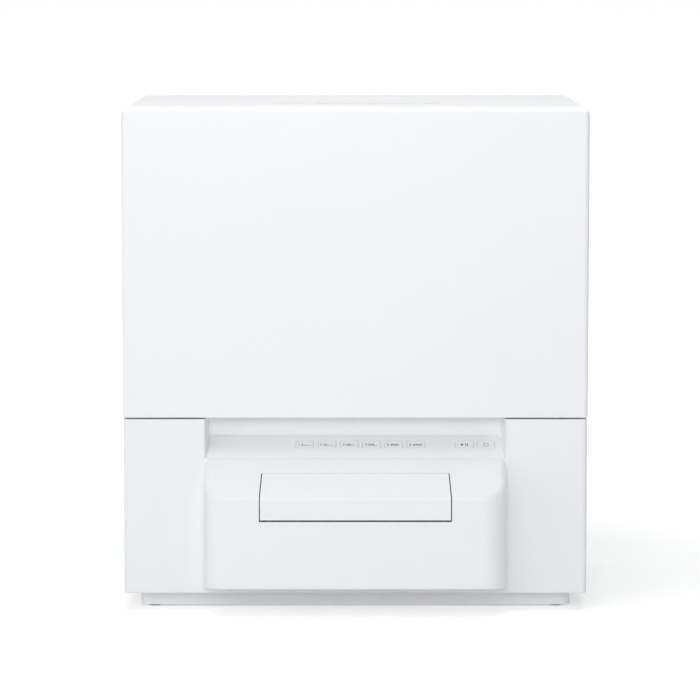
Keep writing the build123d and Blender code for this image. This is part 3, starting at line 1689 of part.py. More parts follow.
with BuildPart() as blower_wheel:
    with BuildSketch(Plane.XY.offset(wheel_base)):
        with Locations((duct_middle_x, behind(blower_u))):
            Circle(wheel_radius)
    extrude(amount=wheel_disc)
    with BuildSketch(Plane.XY.offset(wheel_base)):
        with Locations((duct_middle_x, behind(blower_u))):
            Circle(rotor_hub_radius)
            with PolarLocations(wheel_radius - blade_inset, blade_count):
                Rectangle(blade_length, blade_skin, rotation=blade_angle)
    extrude(amount=wheel_height - wheel_disc)
    with BuildSketch(Plane.XY.offset(wheel_top - wheel_disc)):
        with Locations((duct_middle_x, behind(blower_u))):
            Circle(wheel_radius)
            Circle(wheel_radius - wheel_ring, mode=Mode.SUBTRACT)
    extrude(amount=wheel_disc)
    with BuildSketch(Plane.XY.offset(wheel_base)):
        with Locations((duct_middle_x, behind(blower_u))):
            Circle(shaft_radius + seat)
    extrude(amount=wheel_height, mode=Mode.SUBTRACT)

blower_wheel.part.label = "blower_wheel"
export_step(blower_wheel.part, "parts/blower_wheel.step")

duct_start_u = blower_u + blower_radius + seat
duct_front_u = tub_back_u + seat
duct_back_u = body_depth - back_inset - case_skin - duct_back_gap
with BuildPart() as air_duct:
    with BuildSketch(Plane.YZ.offset(duct_left)):
        outline(
            [
                (behind(duct_start_u), blower_base),
                (behind(duct_back_u), blower_base),
                (behind(duct_back_u), duct_top_z + duct_skin),
                (behind(duct_front_u), duct_top_z + duct_skin),
                (behind(duct_front_u), blower_top),
                (behind(duct_start_u), blower_top),
            ]
        )
    extrude(amount=duct_width)
    with BuildSketch(Plane.YZ.offset(duct_left + duct_skin)):
        outline(
            [
                (behind(duct_start_u), blower_base + blower_skin),
                (behind(duct_back_u - duct_skin), blower_base + blower_skin),
                (behind(duct_back_u - duct_skin), duct_top_z),
                (behind(duct_front_u), duct_top_z),
                (behind(duct_front_u), duct_mouth_z),
                (behind(duct_front_u + duct_skin), duct_mouth_z),
                (behind(duct_front_u + duct_skin), blower_top - blower_skin),
                (behind(duct_start_u), blower_top - blower_skin),
            ]
        )
    extrude(amount=duct_width - 2 * duct_skin, mode=Mode.SUBTRACT)

air_duct.part.label = "air_duct"
export_step(air_duct.part, "parts/air_duct.step")

# The power board stands off the left support, below its windows.
board_x = -support_x + support_skin
with BuildPart() as power_board:
    with BuildSketch(Plane.YZ.offset(board_x + board_standoff)):
        with Locations((behind(power_board_u), power_board_z)):
            Rectangle(power_board_length, power_board_height)
    extrude(amount=board_thickness)
    with BuildSketch(Plane.YZ.offset(board_x)):
        with Locations((behind(power_board_u), power_board_z)):
            with GridLocations(
                power_board_length - 2 * stud_inset, power_board_height - 2 * stud_inset, 2, 2
            ):
                Circle(board_boss_radius)
    extrude(amount=board_standoff)
    with BuildSketch(Plane.YZ.offset(board_x + board_standoff + board_thickness)):
        with Locations((behind(power_board_u), power_board_z)):
            with GridLocations(relay_pitch, 0, 3, 1):
                Rectangle(relay_length, relay_height)
    extrude(amount=relay_depth)
    with BuildSketch(Plane.YZ.offset(board_x + board_standoff + board_thickness)):
        with Locations((behind(power_board_u) - capacitor_place, power_board_z)):
            Circle(capacitor_radius)
    extrude(amount=capacitor_depth)

power_board.part.label = "power_board"
export_step(power_board.part, "parts/power_board.step")


# The racks: coated wire trays with an open grid floor, posts and a rim all round. Each row
# of tines is a comb on a wire of its own, laid across the tray's floor.
def rack_form(base, tine_rows):
    middle_y = behind(rack_middle_u)
    comb_base = base + rack_bar + seat
    columns = round(2 * rack_half / rack_pitch)
    rows = round(rack_length / rack_pitch)
    cell_x = (2 * rack_half - rack_bar) / columns
    cell_y = (rack_length - rack_bar) / rows
    tine_x = (basket_x - basket_width / 2 - rack_half) / 2
    with BuildPart() as form:
        with BuildSketch(Plane.XY.offset(base)):
            with Locations((0, middle_y)):
                Rectangle(2 * rack_half, rack_length)
                with GridLocations(cell_x, cell_y, columns, rows):
                    Rectangle(cell_x - rack_bar, cell_y - rack_bar, mode=Mode.SUBTRACT)
        extrude(amount=rack_bar)
        with BuildSketch(Plane.XY.offset(base + rack_rim)):
            with Locations((0, middle_y)):
                Rectangle(2 * rack_half, rack_length)
                Rectangle(
                    2 * (rack_half - rack_bar), rack_length - 2 * rack_bar, mode=Mode.SUBTRACT
                )
        extrude(amount=rack_bar)
        with BuildSketch(Plane.XY.offset(base + rack_bar)):
            with Locations((0, middle_y)):
                with GridLocations(cell_x, rack_length - rack_bar, columns + 1, 2):
                    Rectangle(rack_bar, rack_bar)
                with GridLocations(2 * rack_half - rack_bar, cell_y, 2, rows + 1):
                    Rectangle(rack_bar, rack_bar)
        extrude(amount=rack_rim - rack_bar)
        if tine_rows:
            row_pitch = cell_y * (rows - 2)
            with BuildSketch(Plane.XY.offset(comb_base)):
                with Locations((tine_x, middle_y)):
                    with GridLocations(0, row_pitch, 1, tine_rows):
                        Rectangle(tine_pitch * tine_count, 2 * tine_radius)
            extrude(amount=comb_wire)
            with BuildSketch(Plane.XY.offset(comb_base + comb_wire)):
                with Locations((tine_x, middle_y)):
                    with GridLocations(tine_pitch, row_pitch, tine_count, tine_rows):
                        RegularPolygon(tine_radius, 6)
            extrude(amount=tine_height - comb_wire)
    return form.part


with BuildPart() as lower_rack:
    add(rack_form(lower_ledge, 2))

lower_rack.part.label = "lower_rack"
export_step(lower_rack.part, "parts/lower_rack.step")

with BuildPart() as upper_rack:
    add(rack_form(upper_ledge, 0))

upper_rack.part.label = "upper_rack"
export_step(upper_rack.part, "parts/upper_rack.step")

# The cutlery basket stands in the lower rack, on its right.
basket_base = lower_ledge + rack_bar
basket_y = behind(rack_middle_u)
basket_length = rack_length - 2 * basket_end_gap
with BuildPart() as cutlery_basket:
    with BuildSketch(Plane.XY.offset(basket_base)):
        with Locations((basket_x, basket_y)):
            RectangleRounded(basket_width, basket_length, basket_corner)
    extrude(amount=basket_height)
    with BuildSketch(Plane.XY.offset(basket_base + basket_skin)):
        with Locations((basket_x, basket_y)):
            RectangleRounded(
                basket_width - 2 * basket_skin,
                basket_length - 2 * basket_skin,
                basket_corner - basket_skin,
            )
            Rectangle(basket_width, basket_skin, mode=Mode.SUBTRACT)
    extrude(amount=basket_height, mode=Mode.SUBTRACT)
    with BuildSketch(Plane.YZ.offset(basket_x - basket_width / 2)):
        with Locations((basket_y, basket_base + basket_height / 2)):
            with GridLocations(basket_length / (basket_slots + 1), 0, basket_slots, 1):
                Rectangle(basket_slot_width, basket_height - 2 * basket_slot_margin)
    extrude(amount=basket_width, mode=Mode.SUBTRACT)

cutlery_basket.part.label = "cutlery_basket"
export_step(cutlery_basket.part, "parts/cutlery_basket.step")

# The door linkage: two pairs of equal links, parallel at every moment, carry the door
# forwards and up. Each link turns on a plate fixed to the tub's side.
rest = radians(link_rest)
lower_tip = (behind(link_tip_u), door_base + link_tip_lift)
upper_tip = (lower_tip[0] + link_step_u, lower_tip[1] + link_step_z)
lower_pivot = (lower_tip[0] + link_length * cos(rest), lower_tip[1] + link_length * sin(rest))
upper_pivot = (upper_tip[0] + link_length * cos(rest), upper_tip[1] + link_length * sin(rest))
link_x = rim_half + lane_clear
bracket_x = link_x + link_plate + lane_gap
frame_front = lower_pivot[0] - frame_length / 2

with BuildPart() as link_frames:
    for side in (-1, 1):
        with BuildSketch(Plane.YZ.offset(side * tub_half)) as frame_view:
            with Locations((frame_front, lower_pivot[1] - frame_margin)):
                Rectangle(
                    frame_length, link_step_z + 2 * frame_margin, align=(Align.MIN, Align.MIN)
                )
            fillet(frame_view.vertices(), frame_corner)
            with Locations(lower_pivot, upper_pivot):
                Circle(link_pin + pin_gap, mode=Mode.SUBTRACT)
        extrude(amount=side * frame_plate)

link_frames.part.label = "link_frames"
export_step(link_frames.part, "parts/link_frames.step")

for name, pivot, tip in (
    ("lower_links", lower_pivot, lower_tip),
    ("upper_links", upper_pivot, upper_tip),
):
    middle = ((pivot[0] + tip[0]) / 2, (pivot[1] + tip[1]) / 2)
    with BuildPart() as links:
        for side in (-1, 1):
            with BuildSketch(Plane.YZ.offset(side * link_x)):
                with Locations(pivot, tip):
                    Circle(link_end)
                with Locations(middle):
                    Rectangle(link_length, link_middle, rotation=link_rest)
                    SlotOverall(
                        link_slot_length, link_slot, rotation=link_rest, mode=Mode.SUBTRACT
                    )
                with Locations(pivot, tip):
                    Circle(link_pin, mode=Mode.SUBTRACT)
            extrude(amount=side * link_plate)
    links.part.label = name
    export_step(links.part, f"parts/{name}.step")

# Each pin is riveted into its link. At the body end it reaches in through the frame, and
# at the door end out through the bracket.
for name, pivot, tip in (
    ("lower_link_pins", lower_pivot, lower_tip),
    ("upper_link_pins", upper_pivot, upper_tip),
):
    with BuildPart() as pins:
        for side in (-1, 1):
            with BuildSketch(Plane.YZ.offset(side * (tub_half + seat))):
                with Locations(pivot):
                    Circle(link_pin)
            extrude(amount=side * (link_x + link_plate - tub_half - seat))
            with BuildSketch(Plane.YZ.offset(side * (tub_half + frame_plate + seat))):
                with Locations(pivot):
                    Circle(link_pin + pin_collar)
            extrude(amount=side * (link_x - tub_half - frame_plate - seat))
            with BuildSketch(Plane.YZ.offset(side * (link_x + link_plate))):
                with Locations(pivot):
                    Circle(link_pin + pin_collar)
                with Locations(tip):
                    Circle(link_pin + pin_collar)
            extrude(amount=side * (lane_gap - seat))
            with BuildSketch(Plane.YZ.offset(side * link_x)):
                with Locations(tip):
                    Circle(link_pin)
            extrude(amount=side * (link_plate + lane_gap + bracket_plate + 2 * seat))
            with BuildSketch(Plane.YZ.offset(side * (bracket_x + bracket_plate + seat))):
                with Locations(tip):
                    Circle(link_pin + pin_collar)
            extrude(amount=side * pin_head)
    pins.part.label = name
    export_step(pins.part, f"parts/{name}.step")

# A bracket on each side of the door's inner panel reaches back to the links.
bracket_base = lower_tip[1] - bracket_below
bracket_top = upper_tip[1] + bracket_above
with BuildPart() as door_brackets:
    for side in (-1, 1):
        with BuildSketch(Plane.YZ.offset(side * bracket_x)) as bracket_view:
            outline(
                [
                    (behind(inner_face_u), bracket_base),
                    (behind(inner_face_u), bracket_top),
                    (upper_tip[0] + bracket_upper_past, bracket_top),
                    (lower_tip[0] + bracket_past_tip, lower_tip[1] + bracket_shoulder),
                    (lower_tip[0] + bracket_past_tip, bracket_base),
                ]
            )
            fillet(bracket_view.vertices().group_by(Axis.X)[1:], bracket_corner)
            with Locations(lower_tip, upper_tip):
                Circle(link_pin + pin_gap, mode=Mode.SUBTRACT)
        extrude(amount=side * bracket_plate)
        with BuildSketch(Plane.XZ.offset(-behind(inner_face_u))):
            with Locations((side * bracket_x, inner_base + flange_lift)):
                Rectangle(
                    bracket_flange,
                    bracket_top - inner_base - flange_lift,
                    align=(Align.MAX if side < 0 else Align.MIN, Align.MIN),
                )
        extrude(amount=-bracket_plate)

door_brackets.part.label = "door_brackets"
export_step(door_brackets.part, "parts/door_brackets.step")

# Rotary dampers on the side panels brake the lower links.
damper_x = bracket_x + bracket_plate + seat
with BuildPart() as door_dampers:
    for side in (-1, 1):
        with BuildSketch(Plane.YZ.offset(side * damper_x)):
            with Locations(lower_pivot):
                Circle(damper_radius)
        extrude(amount=side * (case_half - case_skin - seat - damper_x))
        with BuildSketch(Plane.YZ.offset(side * (link_x + link_plate + lane_gap))):
            with Locations(lower_pivot):
                Circle(link_pin + pin_collar)
        extrude(amount=side * (damper_x - link_x - link_plate - lane_gap))

door_dampers.part.label = "door_dampers"
export_step(door_dampers.part, "parts/door_dampers.step")

# Two small rubber bumpers on the lower front take the door's edge.
with BuildPart() as door_bumpers:
    with BuildSketch(Plane.XY.offset(lower_top)):
        for side in (-1, 1):
            with Locations((side * bumper_x, behind(bumper_u))):
                Circle(bumper_radius)
    extrude(amount=door_base - seat - lower_top)

door_bumpers.part.label = "door_bumpers"
export_step(door_bumpers.part, "parts/door_bumpers.step")
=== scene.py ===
from math import cos, radians, sin

import bmesh
import bpy
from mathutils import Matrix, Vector


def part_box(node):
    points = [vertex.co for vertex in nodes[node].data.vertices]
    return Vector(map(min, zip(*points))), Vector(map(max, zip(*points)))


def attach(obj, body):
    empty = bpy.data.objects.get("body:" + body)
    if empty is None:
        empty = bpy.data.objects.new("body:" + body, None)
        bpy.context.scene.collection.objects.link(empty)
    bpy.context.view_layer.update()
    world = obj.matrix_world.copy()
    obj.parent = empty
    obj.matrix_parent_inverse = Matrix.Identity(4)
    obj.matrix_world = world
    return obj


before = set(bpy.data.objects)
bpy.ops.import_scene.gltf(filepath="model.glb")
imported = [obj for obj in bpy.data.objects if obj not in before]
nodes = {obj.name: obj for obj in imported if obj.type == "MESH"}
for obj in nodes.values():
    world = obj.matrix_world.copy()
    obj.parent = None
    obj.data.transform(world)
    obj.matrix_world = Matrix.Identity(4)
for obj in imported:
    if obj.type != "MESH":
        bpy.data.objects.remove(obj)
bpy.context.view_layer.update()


# The view: straight in front and a little above the machine, through a long lens, with the
# machine slightly right of the middle.
view_down = 6.152
view_lens = bpy.data.cameras.new("view")
view_lens.sensor_width = 36.0
view_lens.lens = 179.7
view_lens.shift_x = -0.0077
view_lens.clip_end = 100.0
view = bpy.data.objects.new("view", view_lens)
view.location = (0.0, -4.244, 0.753)
view.rotation_euler = (radians(90.0 - view_down), 0.0, 0.0)
bpy.context.scene.collection.objects.link(view)
bpy.context.scene.camera = view
bpy.context.scene.view_settings.view_transform = "Standard"

# The studio: a weak even surround, a wide soft light high on the left that casts the one
# clear shadow, two above for the top, one in front, a little raised, for the door and the
# slope, and two low ones at the sides that open the rounded edges of the housing.
surround = bpy.data.worlds.new("surround")
surround.use_nodes = True
tree = surround.node_tree
seen = tree.nodes.new("ShaderNodeLightPath")
glow = tree.nodes["Background"]
glow.inputs["Color"].default_value = (0.96, 0.98, 1.0, 1.0)
glow.inputs["Strength"].default_value = 0.16
plain = tree.nodes.new("ShaderNodeBackground")
plain.inputs["Color"].default_value = (1.0, 1.0, 1.0, 1.0)
plain.inputs["Strength"].default_value = 1.0
either = tree.nodes.new("ShaderNodeMath")
either.operation = "MAXIMUM"
choose = tree.nodes.new("ShaderNodeMixShader")
tree.links.new(seen.outputs["Is Camera Ray"], either.inputs[0])
tree.links.new(seen.outputs["Is Glossy Ray"], either.inputs[1])
tree.links.new(either.outputs[0], choose.inputs[0])
tree.links.new(glow.outputs[0], choose.inputs[1])
tree.links.new(plain.outputs[0], choose.inputs[2])
tree.links.new(choose.outputs[0], tree.nodes["World Output"].inputs["Surface"])
bpy.context.scene.world = surround

lamp_target = Vector((0.0, 0.0, 0.3))
for name, place, size, power, colour in (
    ("soft_light_left", (-2.6, -3.6, 2.4), 2.6, 35.0, (1.0, 0.995, 0.99)),
    ("soft_light_top", (-0.4, -1.2, 2.4), 1.6, 5.0, (0.98, 0.99, 1.0)),
    ("soft_light_over", (0.0, 0.1, 2.4), 2.0, 24.0, (0.98, 0.99, 1.0)),
    ("soft_light_front", (0.0, -4.5, 1.3), 2.0, 60.0, (0.985, 0.992, 1.0)),
    ("soft_light_side_left", (-3.2, -1.6, 0.7), 1.8, 20.0, (1.0, 0.995, 0.99)),
    ("soft_light_side_right", (3.2, -1.6, 0.7), 1.8, 13.0, (0.98, 0.99, 1.0)),
):
    lamp = bpy.data.lights.new(name, "AREA")
    lamp.size = size
    lamp.energy = power
    lamp.color = colour
    light = bpy.data.objects.new(name, lamp)
    light.location = place
    aim = lamp_target - Vector(place)
    light.rotation_euler = aim.to_track_quat("-Z", "Y").to_euler()
    bpy.context.scene.collection.objects.link(light)

# The floor: one wide pale sheet that runs out of sight. It shows white to the camera, more
# so further out where the lamps don't reach, and keeps the machine's shadow.
floor_half = 60.0
sheet = bpy.data.meshes.new("floor")
sheet.from_pydata(
    [(x * floor_half, y * floor_half, 0.0) for x, y in ((-1, -1), (1, -1), (1, 1), (-1, 1))],
    [],
    [(0, 1, 2, 3)],
)
floor = bpy.data.objects.new("floor", sheet)
bpy.context.scene.collection.objects.link(floor)
pale = bpy.data.materials.new("pale_floor")
pale.use_nodes = True
tree = pale.node_tree
paper = tree.nodes["Principled BSDF"]
paper.inputs["Base Color"].default_value = (0.92, 0.92, 0.92, 1.0)
paper.inputs["Roughness"].default_value = 0.9
paper.inputs["Specular IOR Level"].default_value = 0.1
seen = tree.nodes.new("ShaderNodeLightPath")
either = tree.nodes.new("ShaderNodeMath")
either.operation = "MAXIMUM"
lift = tree.nodes.new("ShaderNodeMath")
lift.operation = "MULTIPLY"
place = tree.nodes.new("ShaderNodeTexCoord")
away = tree.nodes.new("ShaderNodeVectorMath")
away.operation = "LENGTH"
rise = tree.nodes.new("ShaderNodeMapRange")
rise.inputs["From Min"].default_value = 0.5
rise.inputs["From Max"].default_value = 2.0
rise.inputs["To Min"].default_value = 0.42
rise.inputs["To Max"].default_value = 1.0
tree.links.new(place.outputs["Object"], away.inputs[0])
tree.links.new(away.outputs["Value"], rise.inputs["Value"])
tree.links.new(rise.outputs["Result"], lift.inputs[1])
tree.links.new(seen.outputs["Is Camera Ray"], either.inputs[0])
tree.links.new(seen.outputs["Is Glossy Ray"], either.inputs[1])
tree.links.new(either.outputs[0], lift.inputs[0])
tree.links.new(lift.outputs[0], paper.inputs["Emission Strength"])
paper.inputs["Emission Color"].default_value = (1.0, 1.0, 1.0, 1.0)
sheet.materials.append(pale)


# Most pieces are moulded. Each such plastic has its own colour, gloss and surface grain, and
# metals and rubber start from the same cloudy grain.
def moulding(name, colour, roughness, grain, depth, drift=0.012, patch=9.0):
    """A moulded plastic: surface grain of a given size and depth in metres, with slow drifts
    of tone and of gloss."""
    plastic = bpy.data.materials.new(name)
    plastic.use_nodes = True
    tree = plastic.node_tree
    shader = tree.nodes["Principled BSDF"]
    place = tree.nodes.new("ShaderNodeTexCoord")
    drifting = tree.nodes.new("ShaderNodeTexNoise")
    drifting.inputs["Scale"].default_value = patch
    drifting.inputs["Detail"].default_value = 3.0
    tone = tree.nodes.new("ShaderNodeMixRGB")
    tone.inputs["Color1"].default_value = (*[c * (1.0 - drift) for c in colour], 1.0)
    tone.inputs["Color2"].default_value = (*[min(1.0, c * (1.0 + drift)) for c in colour], 1.0)
    gloss = tree.nodes.new("ShaderNodeMapRange")
    gloss_drift = 0.05
    gloss.inputs["To Min"].default_value = roughness - gloss_drift
    gloss.inputs["To Max"].default_value = roughness + gloss_drift
    smudges = tree.nodes.new("ShaderNodeTexNoise")
    smudges.inputs["Scale"].default_value = patch * 4.0
    smudges.inputs["Detail"].default_value = 5.0
    texture = tree.nodes.new("ShaderNodeTexNoise")
    texture.inputs["Scale"].default_value = 1.0 / grain
    texture.inputs["Detail"].default_value = 2.0
    relief = tree.nodes.new("ShaderNodeBump")
    relief.inputs["Distance"].default_value = depth
    relief.inputs["Strength"].default_value = 0.6
    for noise in (drifting, smudges, texture):
        tree.links.new(place.outputs["Object"], noise.inputs["Vector"])
    tree.links.new(drifting.outputs["Fac"], tone.inputs["Fac"])
    tree.links.new(tone.outputs["Color"], shader.inputs["Base Color"])
    tree.links.new(smudges.outputs["Fac"], gloss.inputs["Value"])
    tree.links.new(gloss.outputs["Result"], shader.inputs["Roughness"])
    tree.links.new(texture.outputs["Fac"], relief.inputs["Height"])
    tree.links.new(relief.outputs["Normal"], shader.inputs["Normal"])
    return plastic


def finish(material, *names):
    """Gives each named CAD piece this material in place of its plain one."""
    for name in names:
        for slot in nodes[name].material_slots:
            slot.material = material


# The door's outer shell is a glossy white. Its surface has a very fine ripple from the tool,
# and its colour drifts a little across the wide flat face.
door_white = moulding("door_white", (0.868, 0.875, 0.888), 0.30, 0.0035, 0.000008, 0.004)
finish(door_white, "door_shell")

# The louver under the vent slit is the same white darkened with painted shade, as it sits deep in
# the slit, and a little duller.
vent_white_painted_shade = moulding("vent_white_painted_shade", (0.80, 0.805, 0.815), 0.5, 0.0009, 0.00002)
finish(vent_white_painted_shade, "vent_louver")

# The door's liner and the grip strip in its lower edge are satin mouldings in a shade
# between the white casing and the grey tub.
liner_white = moulding("liner_white", (0.76, 0.765, 0.775), 0.45, 0.0008, 0.00003)
finish(liner_white, "door_inner", "door_grip")

# The lower front, the inlet's lid and the casing's panels share the casing white. The
# panels are painted steel, with the faint orange peel of powder paint.
front_white = moulding("front_white", (0.85, 0.856, 0.868), 0.34, 0.003, 0.00001, 0.005)
finish(front_white, "lower_front", "inlet_lid")
panel_white = moulding("panel_white", (0.85, 0.856, 0.868), 0.35, 0.0022, 0.00005)
finish(panel_white, "side_panel_left", "side_panel_right", "top_cover")

# The control strip and its keys are moulded with a fine satin texture.
# The strip's white is paler than the casing white: painted light that lifts the strip in the
# shade of the recess under the door.
strip_white = moulding("strip_white", (0.91, 0.912, 0.917), 0.48, 0.0006, 0.00002)
finish(strip_white, "control_strip")
key_white = moulding("key_white", (0.915, 0.917, 0.922), 0.42, 0.0005, 0.000015)
key_nodes = [*(f"course_key_{number}" for number in range(1, 7)), "start_key", "power_key"]
finish(key_white, *key_nodes)

# Marks are printed in grey ink on the keys: a number with a row of level bars on each course
# key, a play and pause sign on the start key and the usual sign on the power key.
slope_angle = radians(41.7)
slope_across = Vector((1.0, 0.0, 0.0))
slope_up = Vector((0.0, cos(slope_angle), sin(slope_angle)))
slope_out = Vector((0.0, -sin(slope_angle), cos(slope_angle)))
ink_gap = 0.00001
ink_thickness = 0.00004
ink = bpy.data.materials.new("mark_ink")
ink.use_nodes = True
tree = ink.node_tree
shader = tree.nodes["Principled BSDF"]
shader.inputs["Roughness"].default_value = 0.55
place = tree.nodes.new("ShaderNodeTexCoord")
speckle = tree.nodes.new("ShaderNodeTexNoise")
speckle.inputs["Scale"].default_value = 4000.0
tone = tree.nodes.new("ShaderNodeMixRGB")
tone.inputs["Color1"].default_value = (0.10, 0.10, 0.105, 1.0)
tone.inputs["Color2"].default_value = (0.17, 0.17, 0.175, 1.0)
tree.links.new(place.outputs["Object"], speckle.inputs["Vector"])
tree.links.new(speckle.outputs["Fac"], tone.inputs["Fac"])
tree.links.new(tone.outputs["Color"], shader.inputs["Base Color"])


def key_face(node):
    """The middle of a key's outer face, found from the key's own mesh."""
    corners = [v.co for v in nodes[node].data.vertices]
    reach = max(corner.dot(slope_out) for corner in corners)
    along = [corner.dot(slope_up) for corner in corners]
    low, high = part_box(node)
    middle = (min(along) + max(along)) / 2
    return slope_across * (low.x + high.x) / 2 + slope_up * middle + slope_out * reach


def arc(radius, count, start, turn):
    """Points on a circle, from the start angle through the turn, in degrees."""
    angles = [radians(start + turn * i / count) for i in range(count + 1)]
    return [(radius * cos(angle), radius * sin(angle)) for angle in angles]


def print_mark(name, node, shapes):
    """Lays closed flat shapes on a key's face as one thin skin of ink."""
    mesh = bpy.data.meshes.new(name)
    form = bmesh.new()
    origin = key_face(node)
    for shape in shapes:
        lower = []
        upper = []
        for x, y in shape:
            spot = origin + slope_across * x + slope_up * y
            lower.append(form.verts.new(spot + slope_out * ink_gap))
            upper.append(form.verts.new(spot + slope_out * (ink_gap + ink_thickness)))
        form.faces.new(upper)
        form.faces.new(lower[::-1])
        for i in range(len(shape)):
            j = (i + 1) % len(shape)
            form.faces.new((lower[i], lower[j], upper[j], upper[i]))
    bmesh.ops.recalc_face_normals(form, faces=form.faces)
    form.to_mesh(mesh)
    form.free()
    mesh.materials.append(ink)
    mark = bpy.data.objects.new(name, mesh)
    bpy.context.scene.collection.objects.link(mark)
    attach(mark, node + "_cap")


def block(left, bottom, wide, tall):
    """An upright rectangle."""
    right = left + wide
    top = bottom + tall
    return [(left, bottom), (right, bottom), (right, top), (left, top)]


# Each number is drawn from strokes on a grid two squares wide and four high.
number_strokes = {
    1: [((1, 0), (1, 4)), ((1, 4), (0.3, 3.4))],
    2: [((0, 4), (2, 4)), ((2, 4), (2, 2)), ((2, 2), (0, 2)), ((0, 2), (0, 0)), ((0, 0), (2, 0))],
    3: [((0, 4), (2, 4)), ((2, 4), (2, 0)), ((0, 2), (2, 2)), ((0, 0), (2, 0))],
    4: [((0, 4), (0, 2)), ((0, 2), (2, 2)), ((2, 4), (2, 0))],
    5: [((2, 4), (0, 4)), ((0, 4), (0, 2)), ((0, 2), (2, 2)), ((2, 2), (2, 0)), ((2, 0), (0, 0))],
    6: [
        ((2, 4), (0, 4)), ((0, 4), (0, 0)), ((0, 0), (2, 0)), ((2, 0), (2, 2)), ((2, 2), (0, 2)),
    ],
}


def stroke(start, end, weight):
    """A straight stroke with square ends that run half its weight past both points."""
    a, b = Vector(start), Vector(end)
    ahead = (b - a).normalized() * weight / 2
    aside = Vector((-ahead.y, ahead.x))
    ring = (a - ahead - aside, b + ahead - aside, b + ahead + aside, a - ahead + aside)
    return [tuple(corner) for corner in ring]


number_left = -0.0075
number_grid = 0.00075
number_weight = 0.00045
bar_count = 6
bar_left = -0.0035
bar_foot = -0.0015
bar_pitch = 0.00185
bar_wide = 0.0011
bar_full = 0.0026
bar_low = 0.0008
for number, strokes in number_strokes.items():
    shapes = []
    for start, end in strokes:
        a = (number_left + start[0] * number_grid, (start[1] - 2) * number_grid)
        b = (number_left + end[0] * number_grid, (end[1] - 2) * number_grid)
        shapes.append(stroke(a, b, number_weight))
    for bar in range(bar_count):
        tall = bar_full if bar < number else bar_low
        shapes.append(block(bar_left + bar * bar_pitch, bar_foot, bar_wide, tall))
    print_mark(f"course_mark_{number}", f"course_key_{number}", shapes)

# The start key has a triangle and two upright bars side by side.
play_left = -0.0042
play_tip = -0.0004
play_half = 0.0022
pause_foot = -0.0021
pause_wide = 0.001
pause_tall = 0.0042
print_mark(
    "start_mark",
    "start_key",
    [
        [(play_left, -play_half), (play_tip, 0.0), (play_left, play_half)],
        *(block(left, pause_foot, pause_wide, pause_tall) for left in (0.0012, 0.0032)),
    ],
)

# The power sign is a ring, open at the top, with an upright bar in the opening.
power_steps = 40
power_start = 115.0
power_turn = 310.0
arc_outer = arc(0.0029, power_steps, power_start, power_turn)
arc_inner = arc(0.0024, power_steps, power_start, power_turn)
power_shapes = [
    [arc_inner[i], arc_outer[i], arc_outer[i + 1], arc_inner[i + 1]]
    for i in range(power_steps)
]
power_shapes.append(block(-0.00025, 0.0007, 0.0005, 0.0029))
print_mark("power_mark", "power_key", power_shapes)

# The hopper that catches the water, the tub and the sump are satin grey plastic. The filter
# and the spray arm are darker, and the basket lies between the two.
hopper_grey = moulding("hopper_grey", (0.55, 0.56, 0.575), 0.5, 0.0008, 0.00003)
finish(hopper_grey, "inlet_hopper")
tub_grey = moulding("tub_grey", (0.47, 0.485, 0.50), 0.38, 0.0012, 0.00003, 0.03)
finish(tub_grey, "tub", "sump", "rear_nozzle", "spray_hub")
filter_grey = moulding("filter_grey", (0.16, 0.175, 0.195), 0.45, 0.0007, 0.00003, 0.04)
finish(filter_grey, "filter_plate", "residue_filter", "spray_arm")
basket_grey = moulding("basket_grey", (0.32, 0.34, 0.365), 0.45, 0.0007, 0.00003, 0.03)
finish(basket_grey, "cutlery_basket")

# The base tray is white like the casing, made paler with painted light for the shade under the
# housing, and the rear panel is sheet with a pale grey paint.
tray_white_painted_light = moulding("tray_white_painted_light", (0.93, 0.933, 0.94), 0.42, 0.0016, 0.00004)
finish(tray_white_painted_light, "base_tray")
back_white = moulding("back_white", (0.66, 0.67, 0.68), 0.45, 0.0018, 0.00005)
finish(back_white, "rear_panel")

# Rubber parts: the feet, the door's gasket and the two bumpers.
rubber_grey = moulding("rubber_grey", (0.10, 0.103, 0.108), 0.75, 0.0005, 0.00004, 0.08)
finish(rubber_grey, "rubber_feet", "door_gasket", "door_bumpers")

# Formed parts of the links are zinc-plated steel strip. Fine marks run along the strip from
# the rolls, and the plating is slightly cloudy.
def rolled_steel(name, colour, roughness, along, fine=900.0):
    """Bright rolled steel whose marks run along one axis, with cloudy patches of plating."""
    steel = moulding(name, colour, roughness, 0.0005, 0.000006, 0.05, 30.0)
    tree = steel.node_tree
    shader = tree.nodes["Principled BSDF"]
    shader.inputs["Metallic"].default_value = 1.0
    place = tree.nodes.new("ShaderNodeTexCoord")
    stretch = tree.nodes.new("ShaderNodeMapping")
    stretch.inputs["Scale"].default_value = [0.03 if axis == along else 1.0 for axis in "xyz"]
    marks = tree.nodes.new("ShaderNodeTexNoise")
    marks.inputs["Scale"].default_value = fine
    marks.inputs["Detail"].default_value = 2.0
    groove = tree.nodes.new("ShaderNodeBump")
    groove.inputs["Distance"].default_value = 0.000012
    groove.inputs["Strength"].default_value = 0.5
    tree.links.new(place.outputs["Object"], stretch.inputs["Vector"])
    tree.links.new(stretch.outputs["Vector"], marks.inputs["Vector"])
    tree.links.new(marks.outputs["Fac"], groove.inputs["Height"])
    relief = shader.inputs["Normal"].links[0].from_socket
    tree.links.new(relief, groove.inputs["Normal"])
    tree.links.new(groove.outputs["Normal"], shader.inputs["Normal"])
    return steel


finish(rolled_steel("link_steel", (0.60, 0.605, 0.615), 0.30, "y"), "lower_links", "upper_links")
finish(rolled_steel("bracket_steel", (0.57, 0.575, 0.585), 0.34, "z"), "door_brackets")
finish(
    rolled_steel("turned_steel", (0.62, 0.62, 0.625), 0.22, "x", 1800.0),
    "lower_link_pins", "upper_link_pins", "lid_pins", "rear_screws",
)


